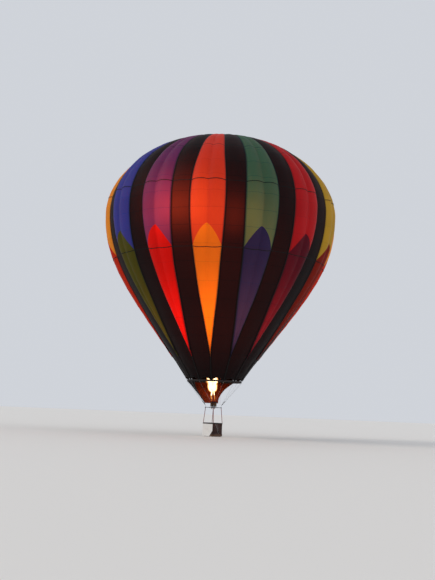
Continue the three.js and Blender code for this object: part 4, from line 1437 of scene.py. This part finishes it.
canes = []
for row in range(ROWS):
    height = WALL_FOOT + (row + 0.5) * (WALL_TOP - WALL_FOOT) / ROWS
    hand = 1 if row % 2 == 0 else -1
    outward = hand * passes * SWING * (1 + 0.1 * rng.standard_normal(STAKES * 2))
    level_place = weave_line + weave_out * outward[:, None]
    wobble = 0.0008 * rng.standard_normal(STAKES * 2)
    points = np.column_stack([level_place, np.full(STAKES * 2, height + GROUND) + wobble])
    cut = in_hole(level_place, height)
    if not cut.any():
        canes.append((points, True))
        continue
    start = int(np.argmax(cut))
    points, cut = np.roll(points, -start, axis=0), np.roll(cut, -start)
    piece_now = []
    for point, gone in zip(points, cut):
        if gone and len(piece_now) > 1:
            canes.append((np.array(piece_now), False))
        if gone:
            piece_now = []
        else:
            piece_now.append(point)
    if len(piece_now) > 1:
        canes.append((np.array(piece_now), False))
weave_parts = [
    tube("canes", [points for points, whole in canes if whole], CANE_RADIUS, 1, True),
    tube("cut_canes", [points for points, whole in canes if not whole], CANE_RADIUS, 1),
]
stake_runs = []
# Each stake stands midway between its two stations
for x, y in basket_line(STAKES * 4)[0][1::4]:
    low, high = WALL_FOOT + 0.002, WALL_TOP - 0.002
    if in_hole(np.array([[x, y]]), (HOLE_LOW + HOLE_HIGH) / 2)[0]:
        stake_runs.append([(x, y, GROUND + low), (x, y, GROUND + HOLE_LOW)])
        stake_runs.append([(x, y, GROUND + HOLE_HIGH), (x, y, GROUND + high)])
    else:
        stake_runs.append([(x, y, GROUND + low), (x, y, GROUND + high)])
weave_parts.append(tube("stakes", stake_runs, STAKE_RADIUS, 1))
for part in weave_parts:
    heights = points_of(part)[:, 2]
    row_of = np.floor((heights - GROUND - WALL_FOOT) / (WALL_TOP - WALL_FOOT) * ROWS)
    # Each row's own random number from 0 to 1, for the canes' shade
    keep_number(part, "lot", np.sin(row_of * 12.9898) * 43758.5453 % 1)
    dress(wicker.material, part)
weave = joined("wicker_wall", weave_parts)
belongs(weave, "balloon", "basket_wall", slot="wicker")

hole_bounds = []
hole_middle = GROUND + (HOLE_LOW + HOLE_HIGH) / 2
for side in (-1, 1):
    for x in (BASKET_HALF_X + 0.002, BASKET_HALF_X - WALL + 0.002):
        bound = []
        for k, (sy, sz) in enumerate(((1, 1), (-1, 1), (-1, -1), (1, -1))):
            corner_y = sy * (HOLE_HALF - HOLE_CORNER)
            corner_z = hole_middle + sz * ((HOLE_HIGH - HOLE_LOW) / 2 - HOLE_CORNER)
            for turn in np.linspace(0, math.pi / 2, 7):
                a = turn + k * math.pi / 2
                bound.append((
                    side * x, corner_y + HOLE_CORNER * math.cos(a), corner_z + HOLE_CORNER * math.sin(a)))
        hole_bounds.append(bound)
hole_binding = tube("foothold_binding", hole_bounds, HOLE_BINDING_RADIUS, 3, True)

# Hide
# Rawhide is laced round the foot of the wall, where it scuffs the ground. The rim is padded and
# covered in dark leather, drawn in by its stitches.
LACES = 110
LACE_LOW = 0.128
LACE_HIGH = 0.158

leather = Finish("leather_finish")
grain = leather.node("TexVoronoi", None, {"Vector": leather.place(), "Scale": 260.0})
creased = leather.noise(leather.place(), 12.0, 5.0)
leather.surface(
    leather.mix(leather.between(creased, 0.4, 0.7), dye("1a100e"), dye("0d0807")), 0.52 + creased * 0.2,
    leather.bump(grain * 0.6 + creased, 0.35, 0.002))
hide = Finish("rawhide_finish")
scrape = hide.noise(hide.place((1, 1, 4)), 7.0, 5.0)
hide.surface(
    hide.mix(hide.between(scrape, 0.35, 0.7), dye("5e3c24"), dye("2e1b10")), 0.6,
    hide.bump(hide.noise(hide.place(), 60.0, 5.0), 0.4, 0.002))
dress(leather.material, hole_binding)
belongs(hole_binding, "balloon", slot="rim_leather")


def band_lay(columns, section):
    """A ring that follows the basket's outline: section takes its place along the wall in metres
    and a turn round its own section, and gives a distance outwards and a height"""
    line, normal = basket_line(columns)
    length = np.hypot(*np.diff(line, axis=0).T).mean() * columns

    def lay(across, down):
        at = np.rint((across + 1) / 2 * columns).astype(int) % columns
        outward, height = section(at / columns * length, 2 * math.pi * down)
        place = line[at] + normal[at] * outward[:, None]
        return np.column_stack([place, height + GROUND])
    return lay


def scuff_section(along, turn):
    out, up = squared(turn, 0.0075, 0.149)
    wave = 0.004 * np.sin(along * 23) * (up > 0.05)
    return WALL / 2 + 0.0044 + out, FLOOR_FOOT + 0.0755 + up - np.abs(wave)


scuff = cloth_cut("scuff_hide", 400, 24, band_lay(400, scuff_section))
close_seams(scuff)
lacing = []
lace_line = basket_line(LACES, WALL / 2 + 0.009)[0]
for k in range(LACES):
    x, y = lace_line[k]
    x2, y2 = lace_line[(k + 1) % LACES]
    lacing.append([
        (x, y, GROUND + FLOOR_FOOT + LACE_LOW),
        ((x + x2) / 2, (y + y2) / 2, GROUND + FLOOR_FOOT + LACE_HIGH),
    ])
laces = tube("laces", lacing, 0.0028, 1)
dress(hide.material, scuff)
dress(leather.material, laces)
scuff = joined("scuff_hide", [laces, scuff])
soften(scuff, 60)
belongs(scuff, "balloon", "scuff_band", slot="rawhide")


def rim_section(along, turn):
    lace = 0.5 + 0.5 * np.cos(2 * math.pi * along / 0.049)
    pinch = 1 - 0.05 * lace**6
    power = 0.72
    out = 0.041 * np.sign(np.cos(turn)) * np.abs(np.cos(turn))**power * pinch
    up = 0.0415 * np.sign(np.sin(turn)) * np.abs(np.sin(turn))**power * pinch
    return out, BASKET_TOP - RIM_HEIGHT / 2 + up


rim = cloth_cut("padded_rim", 712, 26, band_lay(712, rim_section))
close_seams(rim)
dress(leather.material, rim)
soften(rim, 80)
belongs(rim, "balloon", "basket_rim", slot="rim_leather")

# Banner
# A plain white cloth hangs over the side that faces -Y, by eyelets and short ties under the rim.
# One lower corner is cut away, and the foot lifts a little in the breeze.
BANNER_HALF = 0.55
BANNER_HEIGHT = 0.95
BANNER_CUT_X = 0.33
BANNER_CUT_Z = 0.43
BANNER_TOP = WALL_TOP - 0.004
BANNER_Y = -(BASKET_HALF_Y + 0.014)
BANNER_RIPPLE = 0.007
BANNER_SWING = 0.012
EYELETS = 6


def banner_lay(across, down):
    fallen = down * BANNER_HEIGHT
    cut = np.clip((fallen - (BANNER_HEIGHT - BANNER_CUT_Z)) / BANNER_CUT_Z, 0, 1) * BANNER_CUT_X
    x = -BANNER_HALF + (across + 1) / 2 * (2 * BANNER_HALF - cut)
    flat = np.column_stack([x, np.zeros_like(x), BANNER_TOP - fallen])
    ripple = BANNER_RIPPLE * (1 + wandering(flat * (1, 1, 0.35), 0.16, 90))
    ripple = ripple + BANNER_SWING * down**2 * (1 + np.sin(x * 11 + 0.6))
    scallop = 0.006 * np.sin((x + BANNER_HALF) / 0.22 * math.pi)**2 * np.exp(-down * 12)
    return np.column_stack([x, BANNER_Y - ripple, BANNER_TOP + GROUND - fallen - scallop])


banner_cloth = Finish("banner_cloth_finish")
banner_weave = banner_cloth.noise(banner_cloth.place(), 300.0, 2.0)
banner_fold = banner_cloth.noise(banner_cloth.place((1, 1, 0.5)), 6.0, 3.0)
dust = banner_cloth.noise(banner_cloth.place(), 4.0, 4.0)
banner_cloth.surface(
    banner_cloth.darker(banner_cloth.between(dust, 0.45, 0.8) * 0.6, dye("eceae6"), 0.86), 0.7,
    banner_cloth.bump(banner_fold + banner_weave * 0.05, 0.3, 0.008), Sheen_Weight=0.1)
banner = cloth_cut("banner_sheet", 70, 56, banner_lay)
dress(banner_cloth.material, banner)
worked(banner, "SOLIDIFY", thickness=0.0012, offset=-1)
soften(banner, 60)
belongs(banner, "balloon", "banner", slot="banner_cloth")

eyelets = []
banner_top = BANNER_TOP + GROUND
for k in range(EYELETS):
    x = -BANNER_HALF + 0.03 + k * (2 * BANNER_HALF - 0.06) / (EYELETS - 1)
    eyelet = hoop(
        0.009, 0.003, (x, BANNER_Y - 0.014, banner_top - 0.025), (20, 8), (math.radians(90), 0, 0))
    tie = tube("tie", [[
        (x, BANNER_Y - 0.016, banner_top - 0.025),
        (x, BANNER_Y - 0.012, banner_top - 0.004),
        (x, BANNER_Y + 0.02, banner_top + 0.002),
    ]], 0.003)
    eyelets += dress(brass.material, eyelet) + dress(leather.material, tie)
banner_ties = joined("banner_ties", eyelets)
belongs(banner_ties, "balloon", slot="rim_leather")

# Fuel tanks
# Three steel cylinders stand in the corners in quilted covers, held by a strap each to the wall.
# The valve and the level gauge stick out of the cover inside a guard ring.
TANK_RADIUS = 0.16
TANK_HEIGHT = 0.76
TANK_FOOT = WALL_FOOT
TANK_X = BASKET_HALF_X - WALL - TANK_RADIUS - 0.01
TANK_Y = BASKET_HALF_Y - WALL - TANK_RADIUS - 0.01
QUILT_DEPTH = 0.006
STRAP_HEIGHT = 0.46
STRAP_DEPTH = 0.005
# The cover's outline, in shares of the tank's radius and height
COVER_OUTLINE = np.array([
    (0.0, 0.0), (0.8, 0.0), (0.93, 0.008), (0.985, 0.03), (1.0, 0.06), (1.0, 0.4), (1.0, 0.78),
    (0.98, 0.83), (0.93, 0.875), (0.82, 0.91), (0.66, 0.925), (0.6, 0.92), (0.0, 0.915)])
COVER_STEPS = np.diff(COVER_OUTLINE * (TANK_RADIUS, TANK_HEIGHT), axis=0)
COVER_RUN = np.concatenate([[0], np.cumsum(np.hypot(*COVER_STEPS.T))])

quilt = Finish("tank_cover_finish")
quilt_shade = quilt.noise(quilt.place(), 8.0, 4.0)
quilt.surface(
    quilt.mix(quilt.between(quilt_shade, 0.35, 0.7), dye("3c3a40"), dye("242228")), 0.72,
    quilt.bump(quilt.noise(quilt.place(), 240.0, 2.0), 0.4, 0.001), Sheen_Weight=0.3)

for i, (side_x, side_y) in enumerate(((-1, -1), (1, -1), (-1, 1))):
    x, y = side_x * TANK_X, side_y * TANK_Y

    def cover_lay(across, down):
        at = (1 - down) * COVER_RUN[-1]
        radius = np.interp(at, COVER_RUN, COVER_OUTLINE[:, 0]) * TANK_RADIUS
        height = np.interp(at, COVER_RUN, COVER_OUTLINE[:, 1]) * TANK_HEIGHT
        angle = math.pi * across
        on_side = np.clip((radius / TANK_RADIUS - 0.9) / 0.1, 0, 1)
        diamond = np.abs(np.sin(8 * angle + height * 26)) * np.abs(np.sin(8 * angle - height * 26))
        strap_dent = np.exp(-((height - STRAP_HEIGHT) / 0.028)**4)
        size = radius - QUILT_DEPTH * on_side * (1 - diamond**0.5) * (1 - strap_dent)
        size = size - STRAP_DEPTH * on_side * strap_dent
        return np.stack([
            x + size * np.cos(angle), y + size * np.sin(angle), height + TANK_FOOT + GROUND], axis=-1)

    cover = cloth_cut(f"tank_cover_{i + 1}", 160, 120, cover_lay)
    close_seams(cover)
    dress(quilt.material, cover)
    soften(cover, 80)
    belongs(cover, "balloon", f"fuel_tank_{i + 1}", slot="tank_cover")
    top = TANK_FOOT + TANK_HEIGHT * 0.915 + GROUND
    strap = turned("tank_strap", [
        (TANK_RADIUS - 0.004, -0.02), (TANK_RADIUS - 0.001, -0.02), (TANK_RADIUS - 0.001, 0.02),
        (TANK_RADIUS - 0.004, 0.02), (TANK_RADIUS - 0.004, -0.02),
    ], 72, (x, y, TANK_FOOT + STRAP_HEIGHT + GROUND))
    guard = turned("guard_ring", [
        (0.088, 0.0), (0.092, 0.0), (0.092, 0.045), (0.095, 0.05), (0.09, 0.054), (0.088, 0.048),
        (0.088, 0.0),
    ], 48, (x, y, top))
    dress(webbing.material, strap)
    metal = dress(
        brass.material, drum("valve_stem", 0.012, 0.03, (x + 0.03, y, top + 0.015)),
        drum("valve_body", 0.016, 0.05, (x + 0.03, y, top + 0.025), "X"),
        drum("liquid_coupling", 0.011, 0.03, (x + 0.06, y, top + 0.025), "X", 6))
    metal += dress(
        alloy.material, drum("gauge_float", 0.024, 0.02, (x - 0.035, y + 0.02, top + 0.012)), guard)
    metal += dress(
        grip.material, drum("hand_wheel", 0.024, 0.012, (x + 0.03, y, top + 0.045), "Z", 10, 0.003))
    fittings = joined(f"tank_fittings_{i + 1}", [strap, *metal])
    soften(fittings, 35)
    belongs(fittings, "balloon", slot="tank_cover")

# Light
# Soft studio light: a pale surround, a wide warm lamp high at the left front and a weak one on the
# right. Four lamps stand for the burner's glow on the cloth: two near the skin, one in the cone and
# one at the flame.
world = bpy.data.worlds.new("surround")
world.use_nodes = True
world.node_tree.nodes["Background"].inputs["Color"].default_value = dye("dfe3ea")
world.node_tree.nodes["Background"].inputs["Strength"].default_value = 0.85
bpy.context.scene.world = world


def lamp(name, kind, place, aim, energy, colour, **sizes):
    data = bpy.data.lights.new(name, kind)
    data.energy = energy
    data.color = colour
    for size_name, value in sizes.items():
        setattr(data, size_name, value)
    thing = bpy.data.objects.new(name, data)
    thing.location = place
    thing.rotation_euler = (Vector(aim) - Vector(place)).to_track_quat("-Z", "Y").to_euler()
    thing.visible_camera = False
    bpy.context.collection.objects.link(thing)


lamp("left_lamp", "SUN", (-20, -30, 30), (0, 0, 0), 0.7, (1, 0.88, 0.76), angle=math.radians(25))
lamp("right_lamp", "SUN", (40, 25, 14), (0, 0, 0), 0.4, (1, 0.93, 0.9), angle=math.radians(40))
lamp("inner_lamp", "AREA", (2.9, -6.58, GROUND + 16.5), (4.7, -10.7, GROUND + 16.5), 170, (1, 0.6, 0.3),
     shape="RECTANGLE", size=1.8, size_y=1.3)
lamp("second_inner_lamp", "AREA", (6.1, -4.9, GROUND + 15.9), (9.2, -7.3, GROUND + 15.9), 24, (1, 0.6, 0.3),
     shape="RECTANGLE", size=0.5, size_y=2)
lamp("cone_lamp", "AREA", (0, 0, GROUND + 11), (5, -5, GROUND + 8.5), 470, (1, 0.55, 0.25),
     shape="RECTANGLE", size=2, size_y=3, spread=math.radians(120))
lamp("flame_lamp", "POINT", (0, 0, GROUND + 3.95), (0, 0, 0), 40, (1, 0.5, 0.2), shadow_soft_size=0.3)
